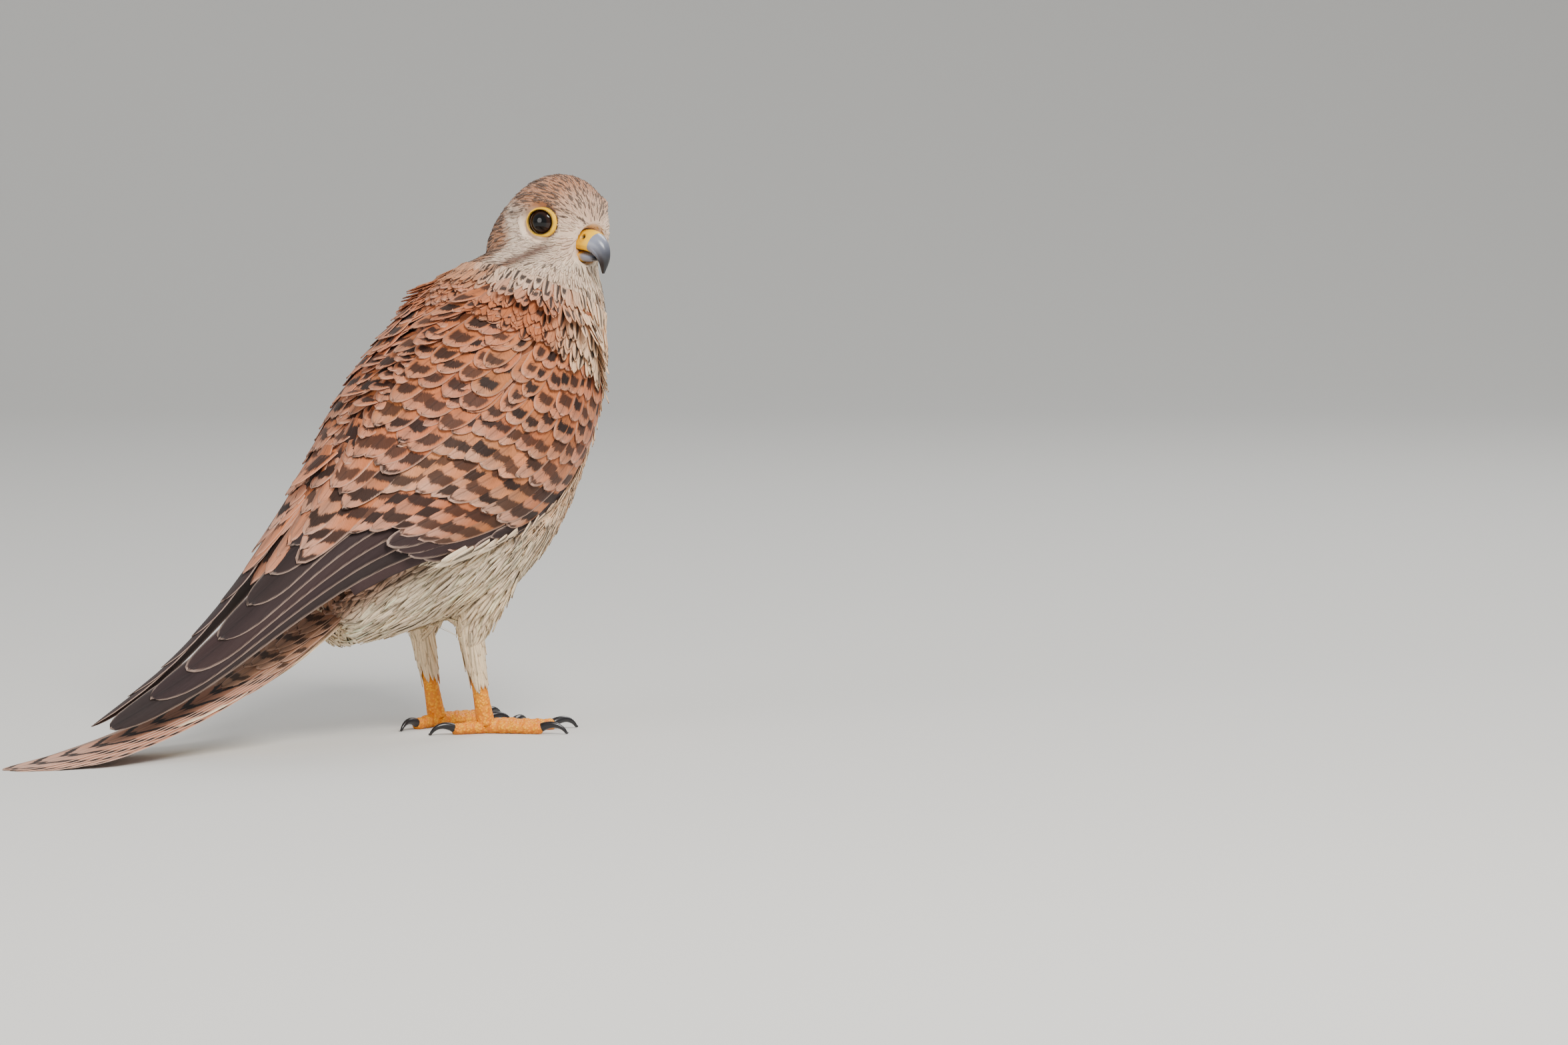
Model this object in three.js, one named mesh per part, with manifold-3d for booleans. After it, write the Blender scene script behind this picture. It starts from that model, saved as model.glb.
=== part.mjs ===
// A common kestrel, female, life size: it stands on the ground and looks over its right shoulder.
// Millimetres. +X is the way the breast faces, +Y the bird's left and +Z up, with the ground at Z = 0.
import * as THREE from "three";
import { mergeVertices } from "three/addons/utils/BufferGeometryUtils.js";
import Module from "manifold-3d";

const wasm = await Module();
wasm.setup();

// Driving dimensions
const GAP = 0.35; // between one part and the next
const HEAD_AT = [44, -6, 183]; // midway between the eyes
const HEAD_TURN = -84; // degrees that the head is turned, to the bird's right
const EYE_RADIUS = 6.3;
const EYE_SPREAD = 8.8; // from the middle of the head to the middle of an eyeball
const LID_RADIUS = 5.1;
const LEG_SPREAD = 14.5; // from the middle of the body to each leg
const TARSUS_TOP = [-7, 31];
const TARSUS_FOOT = [0, 3.4];
const TOE_RADIUS = 2.4;
const CLAW_LENGTH = 10.5;
const TAIL_LENGTH = 158;
const TAIL_ROOT = [-52, 51.5];
const TAIL_SLOPES = [35.3, 4.5]; // degrees below level, at the root and at the tip
const WING_THICKNESS = 4;
const SLIVER = 0.02; // the shortest edge that a cut or a join may leave

const UP = new THREE.Vector3(0, 0, 1);
const rad = THREE.MathUtils.degToRad;
const vec = (x, y, z) => new THREE.Vector3(x, y, z);

// A table's rows are stations: the first column runs from low to high, and the others are read between rows on a smooth curve.
function read(table, at) {
  const last = table.length - 1;
  let i = 0;
  while (i < last - 1 && at > table[i + 1][0]) i++;
  const [p0, p1, p2, p3] = [i - 1, i, i + 1, i + 2].map(
    (k) => table[Math.min(Math.max(k, 0), last)],
  );
  const span = p2[0] - p1[0];
  const t = Math.max(-0.2, Math.min((at - p1[0]) / span, 1));
  return p1.slice(1).map((_, k) => {
    const c = k + 1;
    const m1 = p0 === p1 ? p2[c] - p1[c] : ((p2[c] - p0[c]) / (p2[0] - p0[0])) * span;
    const m2 = p3 === p2 ? p2[c] - p1[c] : ((p3[c] - p1[c]) / (p3[0] - p1[0])) * span;
    const t2 = t * t;
    const t3 = t2 * t;
    return (
      (2 * t3 - 3 * t2 + 1) * p1[c] +
      (t3 - 2 * t2 + t) * m1 +
      (3 * t2 - 2 * t3) * p2[c] +
      (t3 - t2) * m2
    );
  });
}

// Solids from rings of points, each ring in the same order, with the ends closed. A thin slab's rings run over its
// top and back under it, and its underside is split into triangles along the same diagonals as its top.
function loft(rings, thin = false) {
  const around = rings[0].length;
  const position = [];
  const index = [];
  rings.forEach((ring) => ring.forEach((p) => position.push(p.x, p.y, p.z)));
  for (let i = 0; i < rings.length - 1; i++)
    for (let j = 0; j < around; j++) {
      const a = i * around + j;
      const b = i * around + ((j + 1) % around);
      if (thin && j >= around / 2) index.push(a, b, b + around, a, b + around, a + around);
      else index.push(a, b, a + around, b, b + around, a + around);
    }
  for (const [ring, first] of [
    [rings[0], true],
    [rings.at(-1), false],
  ]) {
    const middle = ring.reduce((sum, p) => sum.add(p), vec(0, 0, 0)).divideScalar(around);
    const centre = position.length / 3;
    const start = first ? 0 : (rings.length - 1) * around;
    position.push(middle.x, middle.y, middle.z);
    for (let j = 0; j < around; j++) {
      const a = start + j;
      const b = start + ((j + 1) % around);
      index.push(...(first ? [centre, b, a] : [centre, a, b]));
    }
  }
  return new THREE.BufferGeometry()
    .setAttribute("position", new THREE.Float32BufferAttribute(position, 3))
    .setIndex(index);
}

// A three.js geometry as a solid that can be joined and cut, turned right way out.
function solid(geometry) {
  const bare = new THREE.BufferGeometry()
    .setAttribute("position", geometry.getAttribute("position"))
    .setIndex(geometry.index);
  const merged = mergeVertices(bare, 1e-4);
  const triVerts = new Uint32Array(merged.index.array);
  const make = () =>
    new wasm.Manifold(
      new wasm.Mesh({
        numProp: 3,
        vertProperties: new Float32Array(merged.attributes.position.array),
        triVerts,
      }),
    );
  const made = make();
  if (made.volume() > 0) return made;
  for (let i = 0; i < triVerts.length; i += 3)
    [triVerts[i + 1], triVerts[i + 2]] = [triVerts[i + 2], triVerts[i + 1]];
  return make();
}

// The largest closed body of a solid, with what a cut or a join left loose or sealed dropped.
function largest(body) {
  const bodies = body.decompose();
  return bodies.reduce((best, b) => (b.volume() > best.volume() ? b : best), bodies[0]);
}

function geometryOf(body) {
  const mesh = body.getMesh();
  const stride = mesh.numProp;
  const position = new Float32Array(mesh.numVert * 3);
  for (let i = 0; i < mesh.numVert; i++)
    position.set(mesh.vertProperties.subarray(i * stride, i * stride + 3), i * 3);
  const geometry = new THREE.BufferGeometry()
    .setAttribute("position", new THREE.BufferAttribute(position, 3))
    .setIndex(new THREE.BufferAttribute(mesh.triVerts, 1));
  geometry.computeVertexNormals();
  return geometry;
}

const above = (body, point, normal) =>
  body.trimByPlane(normal.toArray(), normal.dot(point));
const below = (body, point, normal) => above(body, point, normal.clone().negate());

// Body: rows are how far along, middle x and z, pitch in degrees, and how far the back, the belly and each side stand off.
const BODY = [
  [0, 42, 176, 80, 14, 16, 15],
  [0.06, 39, 169, 78, 22, 21, 20],
  [0.14, 35, 160, 73, 31, 27, 26],
  [0.23, 27, 145, 64, 36, 35, 32],
  [0.34, 15, 125, 58, 37, 43, 37.5],
  [0.45, 2, 105, 55, 39, 47, 39.5],
  [0.56, -11, 87, 51, 37, 46, 38],
  [0.66, -25, 72, 45, 31, 39, 33],
  [0.76, -41, 60, 38, 22, 28, 25],
  [0.86, -58, 49, 33, 13, 16.5, 16.5],
  [0.94, -74, 38.5, 31, 6.5, 9, 11],
  [1, -87, 31, 29, 3, 4, 8],
];

// Folded wing: the same columns, for the smooth form that both wings lie on, from the shoulders to the wing tips.
const MANTLE = [
  [0, 33, 153, 65, 33, 30.5, 31],
  [0.12, 20, 132, 57, 36.5, 37, 36],
  [0.25, 5, 112, 52, 40, 41, 40],
  [0.38, -13, 94, 46, 38, 39, 39.5],
  [0.5, -33, 77.5, 39, 32, 33, 35],
  [0.62, -58, 60.5, 34, 24, 24, 28],
  [0.74, -87, 42.5, 30, 16, 15, 20],
  [0.86, -119, 24.5, 27, 10, 9, 14],
  [1, -158, 8.5, 22, 4.5, 4, 8],
];
// Folded wing: how far along, then the angles of its upper and lower edges round that form, in degrees above the side.
const WING_EDGES = [
  [0, 52, -8],
  [0.12, 72, -36],
  [0.25, 82, -43],
  [0.38, 85, -38],
  [0.5, 85, -22],
  [0.62, 84, -6],
  [0.74, 80, 4],
  [0.86, 76, 8],
  [1, 72, 8],
];

// A point on one of the two forms above, at an angle above the bird's right side, pushed out by a height.
function onForm(form, along, angle, out = 0) {
  const [x, z, pitch, back, belly, side] = read(form, along);
  const lift = Math.sin(rad(angle));
  const reach = (lift > 0 ? back : belly) + out;
  const lean = rad(pitch);
  return vec(
    x - Math.sin(lean) * lift * reach,
    -Math.cos(rad(angle)) * (side + out),
    z + Math.cos(lean) * lift * reach,
  );
}

function bodyLoft(out, steps, around) {
  const rings = [];
  for (let i = 0; i <= steps; i++)
    rings.push(
      Array.from({ length: around }, (_, j) =>
        onForm(BODY, i / steps, (360 * j) / around, out),
      ),
    );
  return solid(loft(rings));
}

// A place on the right wing: along it from shoulder to tip, across it from the upper edge at 0 to the lower at 1.
function onWing(along, across, height) {
  const [upper, lower] = read(WING_EDGES, along);
  return onForm(MANTLE, along, upper + (lower - upper) * across, height);
}

const WING_ALONG = Array.from({ length: 25 }, (_, i) => 0.005 + (0.995 * i) / 24);
const WING_ACROSS = Array.from({ length: 15 }, (_, j) => j / 14);

// A slab on the wing, between two heights that may change along and across it.
function wingSlab(inner, outer, alongs, acrosses) {
  return solid(
    loft(
      alongs.map((along) => [
        ...acrosses.map((across) => onWing(along, across, outer(along, across))),
        ...acrosses.toReversed().map((across) => onWing(along, across, inner(along, across))),
      ]),
      true,
    ),
  );
}

// What the body gives up so that the wing lies on it with a gap: a little wider than the wing.
const wingRoom = wingSlab(
  () => -1.5 * GAP,
  () => 26,
  [-0.02, ...WING_ALONG],
  [-0.03, ...WING_ACROSS, 1.03],
);

// Thin towards the rim of the wing, thickest over the forearm.
function wingDepth(along, across) {
  const rim = Math.min(1, 6 * Math.min(across, 1 - across) + 0.3);
  const taper = 1 - 0.7 * along;
  return 0.5 + WING_THICKNESS * rim * taper * Math.min(1, 8 * along + 0.3);
}

// A feather's outline: rows are how far from root to tip, and the share of the half width there.
const QUILL_OUTLINE = [
  [0, 0.8],
  [0.4, 1],
  [0.84, 0.85],
  [1, 0.2],
];

// One feather as a thin closed vane laid on a surface. Root and tip are places on it, heights are those of the
// shaft over it, and the tilt lifts the edge that lies on the next feather and lowers the one that the last lies on.
function vane(place, { root, tip, half, heights, thick = 0.6, tilt = 0.3, outline }) {
  const lerp = THREE.MathUtils.lerp;
  return solid(
    loft(
      outline.map(([t, share]) => {
        const a = lerp(root[0], tip[0], t);
        const c = lerp(root[1], tip[1], t);
        const h = lerp(heights[0], heights[1], t);
        const scale = place(a, c - 0.01, h).distanceTo(place(a, c + 0.01, h)) / 0.02;
        const d = (half * share) / scale;
        const columns = [-1, 1].map((side) => [c + side * d, side * tilt * share]);
        const depth = t === 1 ? 0.35 : thick;
        return [
          ...columns.map(([at, up]) => place(a, at, h + up)),
          ...columns.toReversed().map(([at, up]) => place(a, at, h + up - depth)),
        ];
      }),
      true,
    ),
  );
}

const rightWing = () => wingSlab(() => 0, wingDepth, WING_ALONG, WING_ACROSS);

// Tail: a point on its middle line, a distance from the root, with the way it runs there.
function tailLine(distance) {
  const [start, end] = TAIL_SLOPES.map(rad);
  const bend = (end - start) / TAIL_LENGTH;
  const slope = start + bend * distance;
  return {
    x: TAIL_ROOT[0] - (Math.sin(slope) - Math.sin(start)) / bend,
    z: TAIL_ROOT[1] + (Math.cos(slope) - Math.cos(start)) / bend,
    slope,
  };
}

function onTail(distance, side, height) {
  const { x, z, slope } = tailLine(distance);
  return vec(x - Math.sin(slope) * height * -1, side, z + Math.cos(slope) * height);
}

// Tail feathers of one side from the middle out: how far each is shorter than the middle one.
const TAIL_STEPS = [0, 1, 4, 9, 15, 22];

function tailFan() {
  const feathers = TAIL_STEPS.flatMap((short, i) =>
    [1, -1].map((side) =>
      vane(onTail, {
        root: [0, side * (0.8 + 0.7 * i)],
        tip: [TAIL_LENGTH - short + (side > 0 ? 0.8 : 0), side * (1.7 + 1.8 * i)],
        half: 6.2,
        heights: [2.1 - 0.42 * i, 2 - 0.42 * i],
        thick: 0.85,
        tilt: 0.1 * side,
        outline: QUILL_OUTLINE,
      }),
    ),
  );
  return feathers.reduce((fan, feather) => fan.add(feather));
}

// Head, in its own frame: X to the bill, Y to its left, the origin between the eyes.
// Rows are x, middle z, and how far the crown, the chin and each side stand off.
const SKULL = [
  [-36, -16, 2, 2, 2],
  [-33.5, -15, 8, 8, 9],
  [-27, -11, 14, 15, 15.5],
  [-19, -6, 17.2, 18, 18.5],
  [-11, -2, 18.8, 20.5, 19.8],
  [-3, 0, 18.3, 20.5, 19.8],
  [4, 0, 16.2, 19.5, 17.8],
  [9, -1.5, 13.4, 15.5, 14.4],
  [13, -3, 9, 12, 10.4],
  [15.5, -5, 5, 7.5, 6.2],
  [17, -6.5, 1.5, 2.5, 2],
];
// Upper bill along its middle: rows are how far along, x, z, pitch below level, half height up, half height down, half width.
const BILL = [
  [0, 8, -8, 0, 5.2, 1.6, 6],
  [0.3, 12.8, -7.6, 6, 5, 2.6, 5.2],
  [0.5, 16, -8.3, 22, 4.6, 2.8, 4.4],
  [0.68, 18.5, -10.6, 48, 3.8, 2.4, 3.4],
  [0.84, 19.7, -13.8, 74, 2.4, 1.5, 2.2],
  [1, 19.4, -18.2, 92, 0.5, 0.35, 0.5],
];
const CHIN_BILL = [
  [0, 7.5, -11.6, -10, 1.4, 3, 4.8],
  [0.5, 12.3, -11.8, 4, 1.2, 2.4, 4],
  [1, 16.9, -13, 16, 0.4, 0.7, 1.4],
];

function along(table, steps, around, out = 0) {
  const rings = [];
  for (let i = 0; i <= steps; i++) {
    const [x, z, pitch, up, down, side] = read(table, i / steps);
    const lean = rad(pitch);
    rings.push(
      Array.from({ length: around }, (_, j) => {
        const angle = (2 * Math.PI * j) / around;
        const lift = Math.sin(angle);
        const reach = lift * ((lift > 0 ? up : down) + out);
        return vec(
          x + Math.sin(lean) * reach,
          Math.cos(angle) * (side + out),
          z + Math.cos(lean) * reach,
        );
      }),
    );
  }
  return solid(loft(rings));
}

function skull() {
  const rings = [];
  const [first, last] = [SKULL[0][0], SKULL.at(-1)[0]];
  const steps = 14;
  for (let i = 0; i <= steps; i++) {
    const x = first + ((last - first) * i) / steps;
    const [z, up, down, side] = read(SKULL, x);
    rings.push(
      Array.from({ length: 24 }, (_, j) => {
        const angle = (2 * Math.PI * j) / 24;
        const lift = Math.sin(angle);
        return vec(x, Math.cos(angle) * side, z + lift * (lift > 0 ? up : down));
      }),
    );
  }
  return solid(loft(rings));
}

const ball = (radius, across, down) => new THREE.SphereGeometry(radius, across, down);
const EYE_FORWARD = rad(18);

function eyePlace(side, out) {
  return vec(Math.sin(EYE_FORWARD) * out, side * (EYE_SPREAD + Math.cos(EYE_FORWARD) * out), 0.4);
}

// The head's pieces, in the head's frame.
function headPieces() {
  let head = skull();
  for (const side of [1, -1]) {
    const brow = ball(1, 8, 6).scale(8, 3.4, 2.4).rotateZ(-side * 0.3);
    head = head.add(solid(brow.translate(3.5, side * 13.6, 6.6)));
    const hollow = ball(6.7, 14, 10).translate(...eyePlace(side, 11.6).toArray());
    head = head.subtract(solid(hollow));
    const lid = new THREE.TorusGeometry(LID_RADIUS, 0.95, 6, 16).rotateX(Math.PI / 2);
    lid.rotateZ(-side * EYE_FORWARD).translate(...eyePlace(side, 4.2).toArray());
    head = head.add(solid(lid));
    const socket = ball(EYE_RADIUS + GAP, 16, 11).translate(...eyePlace(side, 0).toArray());
    head = head.subtract(solid(socket));
  }
  const upper = along(BILL, 12, 12);
  const chin = along(CHIN_BILL, 4, 10);
  head = head.subtract(along(BILL, 12, 12, GAP)).subtract(along(CHIN_BILL, 4, 10, GAP));
  const cut = vec(1, 0, 0.55).normalize();
  const seam = vec(14.9, 0, -6);
  let cere = below(upper, seam, cut);
  for (const side of [1, -1]) {
    const nostril = new THREE.CylinderGeometry(0.85, 0.85, 3, 8);
    cere = cere.subtract(solid(nostril.translate(13.4, side * 4.2, -4.9)));
  }
  const horn = above(upper, seam.clone().addScaledVector(cut, GAP), cut);
  const mandible = chin.subtract(along(BILL, 12, 12, GAP));
  const eyes = [1, -1].map((side) =>
    solid(ball(EYE_RADIUS, 16, 11).translate(...eyePlace(side, 0).toArray())),
  );
  return { head, cere, horn, mandible, eyes };
}

// Legs: rows are how far down, x, z and radius.
const THIGH = [
  [0, 4, 84, 17, 13],
  [0.4, 1, 63, 15, 12],
  [0.7, -3, 47, 10.5, 9],
  [0.9, -6, 36, 6.6, 6.2],
  [1, -7, 31, 4.2, 4.2],
];

function thigh(out) {
  const rings = [];
  for (let i = 0; i <= 9; i++) {
    const [x, z, deep, wide] = read(THIGH, i / 9);
    rings.push(
      Array.from({ length: 18 }, (_, j) => {
        const angle = (2 * Math.PI * j) / 18;
        return vec(
          x + Math.cos(angle) * (deep + out),
          -LEG_SPREAD + Math.sin(angle) * (wide + out),
          z,
        );
      }),
    );
  }
  return solid(loft(rings));
}

// A rod of changing radius through points given as x, y, z, radius.
function rod(points, around) {
  const rings = points.map(([x, y, z, radius], i) => {
    const a = points[Math.max(i - 1, 0)];
    const b = points[Math.min(i + 1, points.length - 1)];
    const way = vec(b[0] - a[0], b[1] - a[1], b[2] - a[2]).normalize();
    const across = vec(0, 0, 1).cross(way);
    if (across.length() < 0.2) across.set(0, 1, 0).cross(way).cross(way);
    across.normalize();
    const other = way.clone().cross(across);
    return Array.from({ length: around }, (_, j) => {
      const angle = (2 * Math.PI * j) / around;
      return vec(x, y, z)
        .addScaledVector(across, Math.cos(angle) * radius)
        .addScaledVector(other, Math.sin(angle) * radius);
    });
  });
  return solid(loft(rings));
}

// Toes of the right foot: the way each points, in degrees left of ahead, and its length without the claw.
const TOES = [
  { name: "inner", turn: 20, length: 20 },
  { name: "middle", turn: -12, length: 28 },
  { name: "outer", turn: -48, length: 21 },
  { name: "hind", turn: 164, length: 13 },
];

function toe({ turn, length }) {
  const way = vec(Math.cos(rad(turn)), Math.sin(rad(turn)), 0);
  const pads = Math.round(length / 6) + 1;
  const points = [];
  const steps = pads * 2;
  for (let i = 0; i <= steps; i++) {
    const t = i / steps;
    const swell = 0.28 * Math.sin(Math.PI * pads * t) ** 2;
    const radius = (TOE_RADIUS - 0.5 * t + swell) * (i === steps ? 0.55 : 1);
    const arch = 1.5 * Math.sin(Math.PI * Math.min(1, t * 1.2)) * (length > 15 ? 1 : 0.6);
    points.push([
      TARSUS_FOOT[0] + way.x * length * t,
      -LEG_SPREAD + way.y * length * t,
      TOE_RADIUS - 0.5 * t - 0.3 + arch * 0.2,
      radius,
    ]);
  }
  return rod(points, 7);
}

function claw({ turn, length }) {
  const way = vec(Math.cos(rad(turn)), Math.sin(rad(turn)), 0);
  const steps = 6;
  const points = [];
  for (let i = 0; i <= steps; i++) {
    const t = i / steps;
    const swing = rad(-35 + 128 * t); // from rising ahead to pointing down
    const arm = CLAW_LENGTH * 0.56;
    const reach = length + GAP + arm * (Math.sin(swing) - Math.sin(rad(-35)));
    const height = 2.2 + arm * (Math.cos(swing) - Math.cos(rad(-35))) + 0.25 * t;
    points.push([
      TARSUS_FOOT[0] + way.x * reach,
      -LEG_SPREAD + way.y * reach,
      Math.max(height, 0.5),
      1.5 * (1 - t) + 0.12,
    ]);
  }
  return rod(points, 7);
}

function rightFoot() {
  const [topX, topZ] = TARSUS_TOP;
  const [footX, footZ] = TARSUS_FOOT;
  const shank = [];
  for (let i = 0; i <= 6; i++) {
    const t = i / 6;
    shank.push([
      topX + (footX - topX) * t,
      -LEG_SPREAD,
      topZ + 6 + (footZ - topZ - 6) * t,
      2.5 + 0.9 * t ** 3,
    ]);
  }
  const sole = solid(ball(3.7, 10, 6).scale(1.1, 1, 0.8).translate(footX, -LEG_SPREAD, 2.6));
  return TOES.reduce((foot, t) => foot.add(toe(t)), rod(shank, 10).add(sole));
}

const floorUp = (body) => above(body, vec(0, 0, 0), UP);

// Materials
const paint = (colour, roughness = 0.8) =>
  new THREE.MeshStandardMaterial({ color: colour, roughness, metalness: 0 });
const MATERIALS = {
  plumage: paint(0xc08a62),
  pale: paint(0xd8c0a4),
  wing: paint(0xb5754a),
  tail: paint(0xb06a44),
  eye: paint(0x140d0c, 0.1),
  cere: paint(0xe6b81e, 0.45),
  bill: paint(0x5c6472, 0.35),
  foot: paint(0xe89a12, 0.6),
  claw: paint(0x16141a, 0.25),
};

const bird = new THREE.Group();
const headGroup = new THREE.Group();
headGroup.position.set(...HEAD_AT);
headGroup.rotation.z = rad(HEAD_TURN);
bird.add(headGroup);
headGroup.updateMatrixWorld(true);

function add(name, body, material, group = bird) {
  const mesh = new THREE.Mesh(geometryOf(largest(body).simplify(SLIVER)), material);
  mesh.name = name;
  group.add(mesh);
}

const mirror = (body) => body.mirror([0, 1, 0]);
const headMatrix = headGroup.matrix.toArray();
const backToHead = headGroup.matrix.clone().invert().toArray();

// Whole trunk with the head, parted by thin cuts
const pieces = headPieces();
const NECK_TOP = { at: vec(40, 0, 165), way: vec(0.2, 0, 0.98).normalize() };
const NECK_FOOT = { at: vec(32, 0, 149), way: vec(0.42, 0, 0.91).normalize() };
const TAIL_CUT = { at: vec(-64, 0, 49), way: vec(0.89, 0, 0.46).normalize() };
const room = wingRoom.add(mirror(wingRoom));
const headRoom = ["cere", "horn", "mandible"].reduce(
  (all, key) => all.add(pieces[key]),
  along(BILL, 12, 12, GAP).add(along(CHIN_BILL, 4, 10, GAP)),
);
const eyeRoom = [1, -1].reduce(
  (all, side) =>
    all.add(solid(ball(EYE_RADIUS + GAP, 16, 11).translate(...eyePlace(side, 0).toArray()))),
  headRoom,
);
const faceRoom = eyeRoom.transform(headMatrix);
const trunk = bodyLoft(0, 22, 26).subtract(faceRoom);
const whole = trunk.add(pieces.head.transform(headMatrix)).subtract(room);
const halfGap = (plane, sign) => plane.at.clone().addScaledVector(plane.way, (sign * GAP) / 2);

const head = above(whole, halfGap(NECK_TOP, 1), NECK_TOP.way);
const neck = above(
  below(whole, halfGap(NECK_TOP, -1), NECK_TOP.way),
  halfGap(NECK_FOOT, 1),
  NECK_FOOT.way,
);
const torso = above(
  below(whole, halfGap(NECK_FOOT, -1), NECK_FOOT.way),
  halfGap(TAIL_CUT, 1),
  TAIL_CUT.way,
);
const tail = floorUp(
  below(whole, halfGap(TAIL_CUT, -1), TAIL_CUT.way)
    .add(below(tailFan(), halfGap(TAIL_CUT, -1), TAIL_CUT.way))
    .subtract(room),
);

add("head", head.transform(backToHead), MATERIALS.plumage, headGroup);
add("cere", pieces.cere, MATERIALS.cere, headGroup);
add("bill_upper", pieces.horn, MATERIALS.bill, headGroup);
add("bill_lower", pieces.mandible, MATERIALS.bill, headGroup);
add("eye_left", pieces.eyes[0], MATERIALS.eye, headGroup);
add("eye_right", pieces.eyes[1], MATERIALS.eye, headGroup);
add("neck", neck, MATERIALS.pale);
add("torso", torso, MATERIALS.plumage);
add("tail", tail, MATERIALS.tail);

const wing = rightWing();
const legRight = thigh(0).subtract(bodyLoft(GAP, 22, 26)).subtract(room);
const footRight = floorUp(rightFoot()).subtract(thigh(GAP));
for (const [side, turned] of [
  ["right", (body) => body],
  ["left", mirror],
]) {
  add(`wing_${side}`, turned(wing), MATERIALS.wing);
  add(`leg_${side}`, turned(legRight), MATERIALS.pale);
  add(`foot_${side}`, turned(footRight), MATERIALS.foot);
  for (const t of TOES)
    add(`claw_${side}_${t.name}`, turned(floorUp(claw(t)).subtract(toe(t))), MATERIALS.claw);
}

// The origin goes under the middle of the bird, on the ground.
bird.updateMatrixWorld(true);
const box = new THREE.Box3().setFromObject(bird, true);
const middle = box.getCenter(vec(0, 0, 0));
bird.position.set(-middle.x, -middle.y, -box.min.z);

export default bird;
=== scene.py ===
# %% [markdown]
# # A common kestrel, feather by feather
# The imported CAD model gives the bird's size, pose and place. It is loaded as a fixed frame, and every
# piece made here is laid over it or stands in for one of its solids. Its box is kept.

# %% Load the imported model
import math

import bpy
import numpy as np
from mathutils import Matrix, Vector
from mathutils.bvhtree import BVHTree


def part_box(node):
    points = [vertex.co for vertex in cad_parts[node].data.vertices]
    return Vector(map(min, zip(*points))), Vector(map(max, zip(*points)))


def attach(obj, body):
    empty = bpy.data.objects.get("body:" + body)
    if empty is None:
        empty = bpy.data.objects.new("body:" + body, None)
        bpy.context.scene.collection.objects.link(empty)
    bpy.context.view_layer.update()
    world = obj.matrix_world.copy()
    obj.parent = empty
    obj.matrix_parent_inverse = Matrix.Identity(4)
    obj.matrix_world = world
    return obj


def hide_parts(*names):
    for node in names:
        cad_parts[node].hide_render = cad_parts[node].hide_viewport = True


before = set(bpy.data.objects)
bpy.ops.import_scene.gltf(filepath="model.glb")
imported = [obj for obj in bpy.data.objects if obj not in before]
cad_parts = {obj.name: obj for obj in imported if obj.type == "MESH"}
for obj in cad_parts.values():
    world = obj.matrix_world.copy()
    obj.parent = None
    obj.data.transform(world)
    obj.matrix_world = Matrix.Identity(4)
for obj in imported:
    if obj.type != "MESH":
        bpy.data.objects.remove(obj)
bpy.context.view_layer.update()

rng = np.random.default_rng(7)


# %% [markdown]
# ## Shared sizes
# The solids were made from short tables of stations, in millimetres, with the bird's feet near the
# origin. The same tables are repeated here, because feathers have to lie on the same smooth forms. The
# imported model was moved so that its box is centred, and the middle of the two eyeballs shows by how much.

# %% Tables and the shift between the two frames
HEAD_AT = np.array([44.0, -6.0, 183.0])
HEAD_TURN = math.radians(-84)
EYE_RADIUS = 6.3
EYE_SPREAD = 8.8
EYE_RISE = 0.4
EYE_FORWARD = math.radians(18)
LEG_SPREAD = 14.5
TAIL_LENGTH = 158.0
TAIL_ROOT = (-52.0, 51.5)
TAIL_SLOPES = (math.radians(35.3), math.radians(4.5))
# share of the length, x, z, slope, then how far the form reaches to the back, the belly and the side
BODY = [
    [0, 42, 176, 80, 14, 16, 15], [0.06, 39, 169, 78, 22, 21, 20], [0.14, 35, 160, 73, 31, 27, 26],
    [0.23, 27, 145, 64, 36, 35, 32], [0.34, 15, 125, 58, 37, 43, 37.5], [0.45, 2, 105, 55, 39, 47, 39.5],
    [0.56, -11, 87, 51, 37, 46, 38], [0.66, -25, 72, 45, 31, 39, 33], [0.76, -41, 60, 38, 22, 28, 25],
    [0.86, -58, 49, 33, 13, 16.5, 16.5], [0.94, -74, 38.5, 31, 6.5, 9, 11], [1, -87, 31, 29, 3, 4, 8],
]
MANTLE = [
    [0, 33, 153, 65, 33, 30.5, 31], [0.12, 20, 132, 57, 36.5, 37, 36], [0.25, 5, 112, 52, 40, 41, 40],
    [0.38, -13, 94, 46, 38, 39, 39.5], [0.5, -33, 77.5, 39, 32, 33, 35], [0.62, -58, 60.5, 34, 24, 24, 28],
    [0.74, -87, 42.5, 30, 16, 15, 20], [0.86, -119, 24.5, 27, 10, 9, 14], [1, -158, 8.5, 22, 4.5, 4, 8],
]
BILL = [
    [0, 8, -8, 0, 5.2, 1.6, 6], [0.3, 12.8, -7.6, 6, 5, 2.6, 5.2], [0.5, 16, -8.3, 22, 4.6, 2.8, 4.4],
    [0.68, 18.5, -10.6, 48, 3.8, 2.4, 3.4], [0.84, 19.7, -13.8, 74, 2.4, 1.5, 2.2],
    [1, 19.4, -18.2, 92, 0.5, 0.35, 0.5],
]
CHIN_BILL = [
    [0, 7.5, -11.6, -10, 1.4, 3, 4.8], [0.5, 12.3, -11.8, 4, 1.2, 2.4, 4], [1, 16.9, -13, 16, 0.4, 0.7, 1.4],
]
# share of the mantle's length, angle of the wing's upper edge, angle of its lower edge
WING_EDGES = [
    [0, 52, -8], [0.12, 72, -36], [0.25, 82, -43], [0.38, 85, -38], [0.5, 85, -22],
    [0.62, 84, -6], [0.74, 80, 4], [0.86, 76, 8], [1, 72, 8],
]

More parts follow.
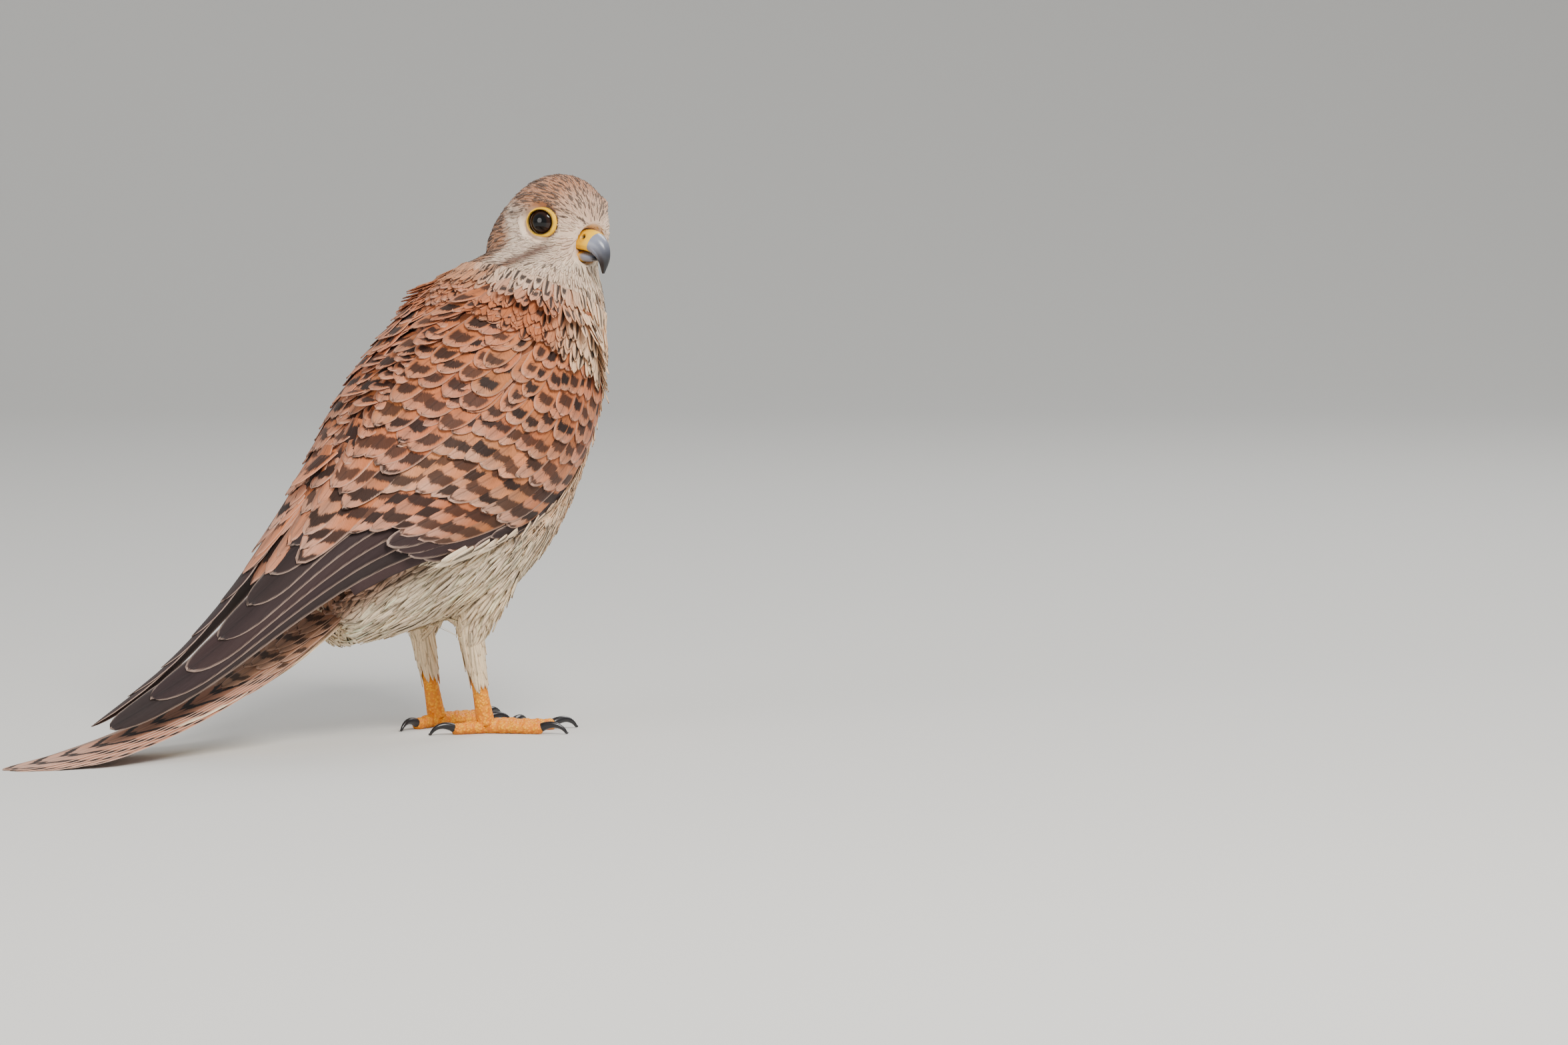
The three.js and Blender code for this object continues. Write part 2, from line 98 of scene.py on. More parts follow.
eye_corners = [Vector(c) for side in ("left", "right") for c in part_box(f"eye_{side}")]
eye_middle = np.array(sum(eye_corners, Vector())) / 4 * 1000
SHIFT = eye_middle - (HEAD_AT + np.array([0, 0, EYE_RISE]))
print("shift in mm:", SHIFT.round(2))

# %% [markdown]
# ## Smooth forms from tables
# A table is read on a smooth cubic curve, for a whole array of places at once. NumPy does in one line
# what a loop in Python would take seconds for, and there are hundreds of thousands of points to place.

# %% Read tables
def stack(*parts):
    """Join numbers and arrays along a new last axis, as x, y and z are joined to points."""
    return np.stack(np.broadcast_arrays(*parts), axis=-1)


def smooth(low, high, value):
    t = np.clip((np.asarray(value, float) - low) / (high - low), 0, 1)
    return t * t * (3 - 2 * t)


def read(table, at):
    rows = np.asarray(table, float)
    x, y = rows[:, 0], rows[:, 1:]
    slope = np.empty_like(y)
    slope[1:-1] = (y[2:] - y[:-2]) / (x[2:] - x[:-2])[:, None]
    slope[0] = (y[1] - y[0]) / (x[1] - x[0])
    slope[-1] = (y[-1] - y[-2]) / (x[-1] - x[-2])
    at = np.asarray(at, float)
    i = np.clip(np.searchsorted(x, at, side="right") - 1, 0, len(x) - 2)
    span = (x[i + 1] - x[i])[..., None]
    t = np.clip((at - x[i])[..., None] / span, -0.2, 1.0)
    t2, t3 = t * t, t * t * t
    out = (2 * t3 - 3 * t2 + 1) * y[i] + (t3 - 2 * t2 + t) * slope[i] * span
    out += (3 * t2 - 2 * t3) * y[i + 1] + (t3 - t2) * slope[i + 1] * span
    return np.moveaxis(out, -1, 0)


print("the body's back, belly and side reach half way along, in mm:", read(BODY, 0.5)[3:].round(1))

# %% [markdown]
# ## Places on the bird
# Feathers are placed by how far along and how far round a form they lie, and how high above it. The head
# has a frame of its own, which is turned to the bird's right.

# %% Points on the body, wing and tail, and in the head's frame
def on_form(form, along, angle, out=0.0):
    x, z, pitch, back, belly, side = read(form, along)
    angle, lean = np.radians(angle), np.radians(pitch)
    lift = np.sin(angle)
    reach = np.where(lift > 0, back, belly) + out
    across = -np.cos(angle) * (side + out)
    return stack(x - np.sin(lean) * lift * reach, across, z + np.cos(lean) * lift * reach)


def on_wing(along, across, height):
    upper, lower = read(WING_EDGES, along)
    return on_form(MANTLE, along, upper + (lower - upper) * across, height)


def wing_depth(along, across):
    rim = np.minimum(1, 6 * np.minimum(across, 1 - across) + 0.3)
    return 0.5 + 4.0 * rim * (1 - 0.7 * along) * np.minimum(1, 8 * along + 0.3)


def on_tail(distance, side, height):
    start, end = TAIL_SLOPES
    bend = (end - start) / TAIL_LENGTH
    slope = start + bend * distance
    x = TAIL_ROOT[0] - (np.sin(slope) - np.sin(start)) / bend
    z = TAIL_ROOT[1] + (np.cos(slope) - np.cos(start)) / bend
    return stack(x + np.sin(slope) * height, side, z + np.cos(slope) * height)


def turned(points, angle):
    c, s = math.cos(angle), math.sin(angle)
    x, y, z = np.moveaxis(points, -1, 0)
    return stack(c * x - s * y, s * x + c * y, z)


def from_head(points):
    return turned(points, HEAD_TURN) + HEAD_AT


def to_head(points):
    return turned(points - HEAD_AT, -HEAD_TURN)


def to_row(points):
    return (np.asarray(points, float) + SHIFT) / 1000


def from_row(points):
    return np.asarray(points, float) * 1000 - SHIFT


print("a point on the wing:", on_wing(0.4, 0.5, 2.0).round(1))

# %% [markdown]
# ## Meshes from arrays
# Every piece below ends in one function. It writes whole arrays into a mesh, which is far faster than
# adding faces one by one. Feathers carry four things besides their shape: a map with the shaft along the
# middle, the colour of the feather's ground with a chance number, and two sets of numbers that say how it
# is marked, the last of which is how far a place is from the feather's rim. The map called OFBake gives
# every feather a small patch of its own for baking.

# %% One function that makes a mesh object
MIRROR = np.array([1, -1, 1])


def put(name, data):
    """Make an object of a mesh, a lamp or a camera, and put it in the scene."""
    made = bpy.data.objects.new(name, data)
    bpy.context.scene.collection.objects.link(made)
    return made


def paint(mesh, corners, uv, bake, **values):
    """Write the two maps on a mesh's corners, and colours with a fourth number on its points."""
    for label, map_at in (("Feather", uv), ("OFBake", bake)):
        layer = mesh.uv_layers.new(name=label)
        layer.data.foreach_set("uv", map_at[corners].astype(np.float32).ravel())
    for label, rgba in values.items():
        if rgba is None:
            continue
        if rgba.shape[1] == 3:
            rgba = np.concatenate([rgba, np.ones((len(rgba), 1))], axis=1)
        layer = mesh.attributes.new(label, "FLOAT_COLOR", "POINT")
        layer.data.foreach_set("color", rgba.astype(np.float32).ravel())


def make_piece(
    name, points, quads, material, uv, bake, base, mark=None, shape=None, replaces=(), flip=False
):
    if flip:
        points, quads = points * MIRROR, quads[:, ::-1]
    corners = np.asarray(quads, np.int32).ravel()
    mesh = bpy.data.meshes.new(name)
    mesh.vertices.add(len(points))
    mesh.vertices.foreach_set("co", to_row(points).astype(np.float32).ravel())
    mesh.loops.add(len(corners))
    mesh.loops.foreach_set("vertex_index", corners)
    mesh.polygons.add(len(quads))
    mesh.polygons.foreach_set("loop_start", np.arange(0, len(corners), 4, dtype=np.int32))
    mesh.update(calc_edges=True)
    mesh.validate()
    paint(mesh, corners, uv, bake, base=base, mark=mark, shape=shape)
    mesh.shade_smooth()
    mesh.materials.append(material)
    piece = put(name, mesh)
    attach(piece, "root")
    if replaces:
        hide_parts(*replaces)


def tube_quads(rows, around):
    i, j = np.meshgrid(np.arange(rows - 1), np.arange(around), indexing="ij")
    a = i * around + j
    b = i * around + (j + 1) % around
    return stack(a, b, b + around, a + around).reshape(-1, 4)


def closed_quads(rows, around):
    """A tube of rings whose two ends are closed by a strip of faces from side to side."""
    j = np.arange(around // 2 - 1)
    first = stack(j + 1, j, around - 1 - j, around - 2 - j)
    return np.concatenate([tube_quads(rows, around), first, first[:, ::-1] + (rows - 1) * around])


print("faces of a closed tube of 8 rings of 10 points:", len(closed_quads(8, 10)))

# %% [markdown]
# ## Nodes that read like sums
# Shaders are built from many small Math nodes, which are tedious to add one by one. The class below
# stands for one output socket. Adding, subtracting or multiplying it adds the node that does so and gives
# the new output, so that the shading further down can be written as plain formulas.

# %% Helpers for shader nodes
def plug(value, socket):
    """Link a wire to a socket, or set a plain number or colour on it."""
    if isinstance(value, Wire):
        socket.id_data.links.new(value.socket, socket)
    else:
        socket.default_value = value


def add_node(tree, kind, inputs=None, **settings):
    node = tree.nodes.new(kind)
    for key, value in settings.items():
        setattr(node, key, value)
    for key, value in (inputs or {}).items():
        plug(value, node.inputs[key])
    return node


def maths(operation, a, b=0.0):
    tree = (a if isinstance(a, Wire) else b).socket.id_data
    return Wire(add_node(tree, "ShaderNodeMath", {0: a, 1: b}, operation=operation).outputs[0])


class Wire:
    def __init__(self, socket):
        self.socket = socket

    def __add__(self, other):
        return maths("ADD", self, other)

    def __sub__(self, other):
        return maths("SUBTRACT", self, other)

    def __mul__(self, other):
        return maths("MULTIPLY", self, other)

    def __rtruediv__(self, other):
        return maths("DIVIDE", other, self)

    def __abs__(self):
        return maths("ABSOLUTE", self)


def wires(node):
    return [Wire(socket) for socket in node.outputs]


def ramp(value, low, high, start=0.0, stop=1.0):
    """A soft step from start to stop, where the value goes from low to high."""
    inputs = dict(enumerate((value, low, high, start, stop)))
    node = add_node(value.socket.id_data, "ShaderNodeMapRange", inputs, interpolation_type="SMOOTHSTEP")
    return wires(node)[0]


def mix(factor, a, b, blend="MIX"):
    inputs = {0: factor, 6: a, 7: b}
    return wires(add_node(a.socket.id_data, "ShaderNodeMix", inputs, data_type="RGBA", blend_type=blend))[2]


def noise(tree, place, scale, detail=2.0):
    inputs = {"Vector": place, "Scale": scale, "Detail": detail}
    return wires(add_node(tree, "ShaderNodeTexNoise", inputs))[0]


def carried(tree, name):
    """The colour and the fourth number that a mesh carries under this name."""
    node = add_node(tree, "ShaderNodeAttribute", attribute_name=name)
    return Wire(node.outputs["Color"]), Wire(node.outputs["Alpha"])


def object_place(tree):
    return Wire(tree.nodes.new("ShaderNodeTexCoord").outputs["Object"])


def new_group(name, *inputs):
    """A node group that puts out a colour and a height. It returns the group and wires from its inputs."""
    group = bpy.data.node_groups.new(name, "ShaderNodeTree")
    group.interface.new_socket("Colour", in_out="OUTPUT", socket_type="NodeSocketColor")
    group.interface.new_socket("Height", in_out="OUTPUT", socket_type="NodeSocketFloat")
    for label in inputs:
        group.interface.new_socket(label, in_out="INPUT", socket_type="NodeSocketFloat")
    return group, wires(group.nodes.new("NodeGroupInput"))


def put_out(group, colour, height):
    add_node(group, "NodeGroupOutput", {"Colour": colour, "Height": height})
    print("nodes in the group", group.name + ":", len(group.nodes))


print("helpers for nodes ready, Blender", bpy.app.version_string)

# %% [markdown]
# ## Shading shared by all feathers
# One node group draws the marks of every feather from the numbers that its mesh carries: bars across it,
# a streak along the shaft, a pale fringe, a paler tip that is painted sheen, and the fine lines of the
# barbs. It puts out a colour and a height, and each material keeps its own shader, so the wing can be
# smoother than the down of the belly.

# %% The node group for feathers
plumage, _ = new_group("Plumage")
feather_map = wires(add_node(plumage, "ShaderNodeUVMap", uv_map="Feather"))[0]
U, V, _ = wires(add_node(plumage, "ShaderNodeSeparateXYZ", {0: feather_map}))
ground, chance = carried(plumage, "base")
mark, extent = carried(plumage, "mark")
shape, rim_at = carried(plumage, "shape")
streak_of, bar_of, fringe_and_sheen_amount = wires(add_node(plumage, "ShaderNodeSeparateColor", {0: mark}))
bars, last_bar, duty = wires(add_node(plumage, "ShaderNodeSeparateColor", {0: shape}))
place = object_place(plumage)
blot, fine = noise(plumage, place, 420.0), noise(plumage, place, 1500.0)

# Barbs are noise drawn out from the shaft to the rim, on lines that slant towards the tip.
edge = abs(U - 0.5) * 2.0
flow = V - edge * 0.24
barb_at = {0: flow * (bars * 36.0), 1: U * 2.5, 2: chance * 91.0}
barbs = noise(plumage, wires(add_node(plumage, "ShaderNodeCombineXYZ", barb_at))[0], 1.0)
ragged = (barbs - 0.5) * 0.16

# Dark bars repeat from the last one back, and stop short of the rim where the feather says so.
jitter = ((blot - 0.5) * 0.12 + ragged) * (2.0 / bars)
bent = V - last_bar + jitter + edge * 0.07
wave = maths("FRACT", bent * bars + 0.5)
bar = ramp(abs(wave - 0.5) - duty * 0.5, -0.06, 0.06, 1.0, 0.0) * bar_of
bar = bar * ramp(edge + ragged - extent, -0.2, 0.05, 1.0, 0.0)
streak = ramp(edge + ragged, 0.2, 0.55, 1.0, 0.0) * streak_of * ramp(V, 0.0, 0.25)
dark = maths("MAXIMUM", bar, streak)
rim = ramp(rim_at + ragged, 0.0, 0.09, 1.0, 0.0) * fringe_and_sheen_amount
shaft = ramp(edge, 0.03, 0.09, 1.0, 0.0)

# Marks darken the ground colour. The pale rim is the feather's own fringe, and the paling towards the tip is
# painted sheen in the same pale tone.
deeper = mix(1.0, ground, (0.7, 0.62, 0.56, 1), "MULTIPLY")
ground = mix(blot * 0.4, ground, deeper)
inked = mix(1.0, ground, (0.03, 0.03, 0.035, 1), "MULTIPLY")
inked = mix(1.0, inked, (0.005, 0.0035, 0.0035, 1), "ADD")
pale_fringe_and_sheen = mix(0.7, ground, (0.7, 0.5, 0.4, 1))
# painted sheen: the ground pales towards the tip of each barred feather
ground = mix(ramp(flow, 0.45, 1.0, 0.0, 0.75) * (fringe_and_sheen_amount * bar_of), ground, pale_fringe_and_sheen)
colour = mix(rim, mix(dark, ground, inked), pale_fringe_and_sheen)
grain = barbs * 0.75 + fine * 0.25 + 0.5
shade = add_node(plumage, "ShaderNodeCombineColor", {0: grain, 1: grain, 2: grain})
colour = mix(1.0, colour, wires(shade)[0], "MULTIPLY")
put_out(plumage, mix(shaft * 0.3, colour, inked), barbs + shaft * 0.6)

# %% [markdown]
# ## Materials
# Feathers share the group above and differ in gloss. Horn, cere and eye share a second group, which
# mottles the colour that the mesh carries, each at its own scale. The skin of the feet has a group with
# small round scales. All of them follow numbers on the mesh or noise in space, so they bake well.

# %% Groups for mottled horn and for scaly skin
mottle, (scale_of, depth_of, _) = new_group("Mottle", "Scale", "Depth")
spots = noise(mottle, object_place(mottle), scale_of, 4.0)
ground, _ = carried(mottle, "base")
factor = spots * depth_of
put_out(mottle, mix(factor, ground, mix(1.0, ground, (0.55, 0.48, 0.42, 1), "MULTIPLY")), spots)

scaly, _ = new_group("Scaly skin")
cells = wires(add_node(scaly, "ShaderNodeTexVoronoi", {"Vector": object_place(scaly), "Scale": 950.0}))[0]
ground, _ = carried(scaly, "base")
darker = mix(1.0, ground, (0.78, 0.6, 0.45, 1), "MULTIPLY")
put_out(scaly, mix(ramp(cells, 0.25, 0.75), ground, darker), ramp(cells, 0.2, 0.7, 1.0, 0.0))

# %% One function for all materials
def make_material(name, group=None, inputs=None, relief=0.0, depth=0.0002, **settings):
    """The settings go on the shader's own sockets. The group gives colour and bump."""
    material = bpy.data.materials.new(name)
    material.use_nodes = True
    tree = material.node_tree
    bsdf = tree.nodes["Principled BSDF"]
    for key, value in settings.items():
        plug(value, bsdf.inputs[key.replace("_", " ")])
    if group:
        colour, height = wires(add_node(tree, "ShaderNodeGroup", inputs, node_tree=group))
        plug(colour, bsdf.inputs["Base Color"])
        bump = add_node(tree, "ShaderNodeBump", {"Height": height, "Strength": relief, "Distance": depth})
        plug(wires(bump)[0], bsdf.inputs["Normal"])
    return material


def feather_material(name, roughness, sheen, relief):
    looks = dict(Specular_IOR_Level=0.25, Sheen_Weight=sheen, Sheen_Roughness=0.5)
    return make_material(name, plumage, relief=relief, Roughness=roughness, **looks)


def mottled_material(name, roughness, scale, depth, relief, **looks):
    inputs = {"Scale": scale, "Depth": depth}
    return make_material(name, mottle, inputs, relief, Roughness=roughness, **looks)


COAT = feather_material("coat feathers", 0.85, 0.12, 0.5)
VANES = feather_material("flight feathers", 0.62, 0.05, 0.6)
CERE = mottled_material("cere and lids", 0.42, 900.0, 0.35, 0.25, Specular_IOR_Level=0.4)
HORN = mottled_material("bill and claw horn", 0.28, 500.0, 0.5, 0.12, Coat_Weight=0.25, Coat_Roughness=0.2)
FOOT = make_material("foot skin", scaly, None, 0.7, 0.0004, Roughness=0.5, Specular_IOR_Level=0.4)
EYE = mottled_material("eye", 0.04, 700.0, 0.4, 0.0, Specular_IOR_Level=0.4)
print("materials:", len(bpy.data.materials))

# %% [markdown]
# ## The skin
# The solids of head, neck, torso and legs are parted by thin cuts, which must not show. Their meshes are
# joined, remeshed into one closed surface, smoothed and drawn in by about the depth of the small
# feathers. It is what the feathers grow from, and where they part it shows the same colours as they do.

# %% Join, remesh and smooth
FLESH = ["head", "neck", "torso", "leg_right", "leg_left"]
VOXEL = 0.0013


def joined_mesh(names):
    points, faces = [], []
    for name in names:
        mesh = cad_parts[name].data
        start = len(points)
        points += [v.co.copy() for v in mesh.vertices]
        faces += [[start + i for i in p.vertices] for p in mesh.polygons]
    mesh = bpy.data.meshes.new("skin")
    mesh.from_pydata(points, [], faces)
    return mesh


def vertex_values(mesh, key):
    values = np.empty(len(mesh.vertices) * 3, np.float32)
    mesh.vertices.foreach_get(key, values)
    return values.reshape(-1, 3).astype(float)


skin = put("skin", joined_mesh(FLESH))
remesh = skin.modifiers.new("remesh", "REMESH")
remesh.mode = "VOXEL"
remesh.voxel_size = VOXEL
relax = skin.modifiers.new("relax", "SMOOTH")
relax.factor = 0.5
relax.iterations = 14
evaluated = skin.evaluated_get(bpy.context.evaluated_depsgraph_get())
skin_mesh = bpy.data.meshes.new_from_object(evaluated)
skin.modifiers.clear()
skin.data = skin_mesh
skin_count = len(skin_mesh.vertices)
print("skin vertices:", skin_count)

# %% [markdown]
# ## Room for the bill and the eyes
# The skin is drawn in along its normals, less on the face, where feathers are shortest. Then it is
# pressed back round the bill and the eyes, because otherwise it would bury the cere and the lids.

# %% Draw the skin in and press it back
skin_at = from_row(vertex_values(skin_mesh, "co"))
in_head = to_head(skin_at)
near_face = smooth(-12, 8, in_head[:, 0]) * smooth(-22, -12, in_head[:, 2])
skin_at = skin_at - vertex_values(skin_mesh, "normal") * (1.5 - 0.9 * near_face)[:, None]
in_head = to_head(skin_at)
to_bill = np.hypot(in_head[:, 1], in_head[:, 2] + 8.5)
bill_room = 10.3 + 0.5 * np.maximum(0, to_bill - 5.2) ** 2
in_head[:, 0] = np.where(in_head[:, 0] > 6, np.minimum(in_head[:, 0], bill_room), in_head[:, 0])
eye_side = np.sign(in_head[:, 1])
eye_axis = stack(math.sin(EYE_FORWARD), eye_side * math.cos(EYE_FORWARD), 0)
to_eye = in_head - stack(0, eye_side * EYE_SPREAD, EYE_RISE)
eye_out = (to_eye * eye_axis).sum(1)
from_axis = np.linalg.norm(to_eye - eye_out[:, None] * eye_axis, axis=1)
ahead = smooth(-2, 4, in_head[:, 0])
lid_room = 5.0 + 0.8 * np.maximum(0, from_axis - 5.7 - 0.6 * ahead) ** 2 + 0.5 * (to_eye[:, 2] > 3)
pressed = np.where(eye_out > 0, np.maximum(0, eye_out - lid_room), 0)
in_head -= pressed[:, None] * eye_axis
skin_at = from_head(in_head)
skin_mesh.vertices.foreach_set("co", to_row(skin_at).astype(np.float32).ravel())
skin_mesh.update()
skin_normal = vertex_values(skin_mesh, "normal")
skin_mesh.shade_smooth()
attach(skin, "root")
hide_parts(*FLESH)
skin_faces = [tuple(p.vertices) for p in skin_mesh.polygons]
skin_tree = BVHTree.FromPolygons([Vector(p) for p in skin_at], skin_faces)
print("pressed back by at most, in mm:", round(float(pressed.max()), 1))

# %% [markdown]
# ## Where each colour belongs
# One function gives the colour of the plumage at any place, and how strongly it is streaked. Skin and
# feathers both ask it, so they always agree. Places on the head are judged in the head's own frame, which
# turns with it.

# %% Plumage colours, and places along the body
def srgb(r, g, b):
    c = np.array([r, g, b], float) / 255
    return np.where(c <= 0.04045, c / 12.92, ((c + 0.055) / 1.055) ** 2.4)


CROWN = srgb(192, 134, 96)
FACE = srgb(238, 206, 178)
CHEEK = srgb(240, 218, 196)
THROAT = srgb(250, 232, 208)
NAPE = srgb(194, 138, 100)
NECK = srgb(204, 148, 108)
BREAST = srgb(242, 206, 168)
BELLY = srgb(255, 234, 200)
THIGH = srgb(255, 230, 190)
BACK = srgb(190, 110, 66)
RUMP = srgb(190, 140, 108)
BROWN = srgb(96, 62, 46)
LORE = srgb(176, 150, 128)


def blend(a, b, factor):
    return a + (b - a) * np.asarray(factor)[..., None]


def body_place(points):
    """How far along the body each point lies, its angle above the body's middle, and the slope there."""
    steps = np.linspace(0, 1, 120)
    x, z, pitch = read(BODY, steps)[:3]
    dx = points[:, None, 0] - x
    dz = points[:, None, 2] - z
    lean = np.radians(pitch)
    ahead = np.abs(dx * np.cos(lean) + dz * np.sin(lean))
    best = np.argmin(ahead + 0.15 * np.hypot(dx, dz), axis=1)
    pick = np.arange(len(points))
    lean = lean[best]
    rise = -dx[pick, best] * np.sin(lean) + dz[pick, best] * np.cos(lean)
    angle = np.arctan2(rise, np.abs(points[:, 1]))
    return steps[best], np.degrees(angle), lean


print("plumage colours ready")

# %% Colour, streaks and bars by place
def coat_colour(points):
    hx, hy, hz = np.moveaxis(to_head(points), -1, 0)
    hy = np.abs(hy)
    height = points[:, 2]
    along, angle, _ = body_place(points)
    upper = smooth(-12, 32, angle)
    body = blend(BREAST, BELLY, smooth(0.4, 0.62, along))
    body = blend(body, BACK, upper * smooth(0.05, 0.2, along))
    body = blend(body, RUMP, upper * smooth(0.66, 0.8, along))
    is_leg = smooth(62, 50, height) * smooth(-24, -18, points[:, 0])
    body = blend(body, THIGH, is_leg)
    crown = smooth(0, 6, hz + 0.2 * hx - 0.1 * hy)
    face = blend(CHEEK, CROWN, crown)
    face = blend(face, FACE, smooth(5, 12, hx) * 0.7)
    behind = smooth(-7.5, -13.5, hx + 0.35 * (hz + 8)) * smooth(-24, -14, hz)
    face = blend(face, NAPE, behind)
    throat = smooth(-11, -16, hz) * smooth(-6, 4, hx)
    face = blend(face, THROAT, throat)
    stripe = np.exp(-(((hx - 4.6 - 0.55 * (hz + 9)) / 3.2) ** 2))
    stripe = stripe * smooth(-6.0, -9.0, hz) * smooth(-25, -18, hz) * smooth(6, 10, hy)
    face = blend(face, BROWN, 0.95 * stripe)
    line = np.exp(-(((hz - 4.2 - 0.1 * hx) / 1.7) ** 2))
    line = line * smooth(1, -5, hx) * smooth(-18, -9, hx) * smooth(10, 13, hy)
    face = blend(face, BROWN, 0.65 * line)
    lore = np.exp(-(((hx - 8.5) / 2.6) ** 2 + ((hz + 1.5) / 2.2) ** 2))
    face = blend(face, LORE, 0.45 * lore)
    facing = np.radians(np.interp(height, [140, 166], [-2, -52]))
    around = np.arctan2(points[:, 1], points[:, 0] - 38)
    pale = smooth(0.2, 0.85, np.cos(around - facing))
    neck_top = smooth(172, 163, height) * (1 - 0.6 * throat)
    face = blend(face, blend(NECK, BREAST, pale), neck_top)
    on_head = smooth(150, 160, height)
    freckled = 0.55 + 0.3 * (1 - pale)
    on_face = 0.75 * np.maximum(crown, behind) + 0.2 * smooth(-6, -14, hx) + 0.25 * smooth(-13, -20, hz)
    on_face = on_face * (1 - 0.7 * throat)
    on_face = on_face + (freckled - on_face) * neck_top
    streak = 0.62 * (1 - smooth(0.5, 0.72, along)) + 0.12
    streak = streak + (on_face - streak) * on_head
    streak = streak * (1 - is_leg * 0.7)
    barred = upper * smooth(0.1, 0.2, along) * (1 - on_head)
    return blend(body, face, on_head), streak, barred


base, streak, barred = coat_colour(skin_at)
base = blend(base, base * 0.6, 0.3 * streak)
along, angle, _ = body_place(skin_at)
turn = np.arctan2(-skin_at[:, 1], np.sin(np.radians(angle)) * 30)
skin_uv = stack(0.5 + turn / (2 * math.pi) * 0.98, 0.01 + 0.98 * along)
loops = np.empty(len(skin_mesh.loops), np.int32)
skin_mesh.loops.foreach_get("vertex_index", loops)
flat = np.ones((skin_count, 3))
paint(skin_mesh, loops, 0.25 * flat[:, :2], skin_uv, base=base, mark=0 * flat, shape=0.5 * flat)
skin_mesh.materials.append(COAT)
print("average streak on the skin:", round(float(streak.mean()), 2))

# %% [markdown]
# ## Which way the feathers lie
# Feathers point away from the bill over the head, down the neck, and back along the trunk. A direction is
# worked out for any place from those rules and flattened on to the surface there. A real coat could be
# combed by hand with guide curves, but rules give the same result on every run.

# %% Lie of the coat, and evenly spread roots
SKIN_QUADS = np.array([f for f in skin_faces if len(f) == 4])


def unit(vectors):
    return vectors / np.linalg.norm(vectors, axis=-1, keepdims=True)


def lie(points, normals):
    away = unit(to_head(points) - np.array([13.0, 0.0, -9.0])) * 0.7 + np.array([-0.55, 0, -0.3])
    over_head = turned(away, HEAD_TURN)
    _, _, lean = body_place(points)
    along_body = stack(-np.cos(lean), 0, -np.sin(lean))
    down = np.array([-0.25, 0, -1.0])
    on_leg = smooth(58, 48, points[:, 2]) * smooth(-26, -20, points[:, 0])
    way = blend(along_body, over_head, smooth(160, 178, points[:, 2]))
    way = blend(way, down, on_leg)
    way = way - normals * (way * normals).sum(1, keepdims=True)
    return way / np.maximum(np.linalg.norm(way, axis=1, keepdims=True), 1e-6)


def spread(mask, spacing):
    """Roots over the masked skin. The spacing may be one number or one for each vertex."""
    spacing = np.broadcast_to(np.asarray(spacing, float), (skin_count,))
    faces = SKIN_QUADS[mask[SKIN_QUADS].all(axis=1)]
    p = skin_at[faces]
    area = np.linalg.norm(np.cross(p[:, 2] - p[:, 0], p[:, 3] - p[:, 1]), axis=1) / 2
    chance = area / spacing[faces].mean(axis=1) ** 2
    total = int(chance.sum() * 3)
    pick = rng.choice(len(faces), total, p=chance / chance.sum())
    u, v = rng.random((2, total))
    weights = stack((1 - u) * (1 - v), u * (1 - v), u * v, (1 - u) * v)[..., None]
    corners = faces[pick]
    points = (skin_at[corners] * weights).sum(1)
    gaps = (spacing[corners][..., None] * weights).sum(1)[:, 0]
    keys = np.floor(points / float(gaps.max())).astype(int)
    steps = [(dx, dy, dz) for dx in (-1, 0, 1) for dy in (-1, 0, 1) for dz in (-1, 0, 1)]
    grid, kept = {}, []
    for i in range(total):
        kx, ky, kz = keys[i]
        px, py, pz = points[i]
        room = gaps[i] ** 2
        near = (j for dx, dy, dz in steps for j in grid.get((kx + dx, ky + dy, kz + dz), ()))
        if any((x - px) ** 2 + (y - py) ** 2 + (z - pz) ** 2 < room for x, y, z in near):
            continue
        grid.setdefault((kx, ky, kz), []).append((px, py, pz))
        kept.append(i)
    kept = np.array(kept)
    normals = unit((skin_normal[corners] * weights).sum(1)[kept])
    nearest = corners[kept, 0]
    return points[kept], normals, skin_uv[nearest], nearest


print("faces to grow on:", len(SKIN_QUADS))

# %% [markdown]
# ## Where feathers may grow
# Skin that lies under a wing needs no feathers, and none may stick out through the eyes or the bill. A
# ray from each point of the skin tells whether a wing covers it.

# %% Free skin
wing_trees = []
for side in ("right", "left"):
    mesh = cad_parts[f"wing_{side}"].data
    corners = [Vector(from_row(v.co)) for v in mesh.vertices]
    wing_trees.append(BVHTree.FromPolygons(corners, [tuple(p.vertices) for p in mesh.polygons]))


def under_wing(point, normal):
    start = Vector(point + normal * 0.3)
    return any(tree.ray_cast(start, Vector(normal), 7.0)[0] is not None for tree in wing_trees)


covered = np.array([under_wing(p, n) for p, n in zip(skin_at, skin_normal)])
at_eye = (from_axis < 6.0 + 0.9 * smooth(-2, 4, in_head[:, 0])) & (eye_out > 0)
at_bill = (in_head[:, 0] > 8.5) & (to_bill < 6.6)
free = ~(covered | at_eye | at_bill)
print("open skin:", round(float(free.mean()), 2))

# %% [markdown]
# ## Small feathers
# Each feather is a thin closed vane: five rows of four points, with the shaft a little raised. All vanes
# of an area are made at once from arrays. Each point is then looked up on the skin and set at its own
# height above it, so that even a long feather hugs the curve of the body, with only its tip lifting.

# %% Grow a coat over part of the skin
OUTLINE = [(0.0, 0.45), (0.3, 0.85), (0.62, 1.0), (0.86, 0.8), (1.0, 0.18)]
COAT_BARS = [1.9, 0.68, 0.34]


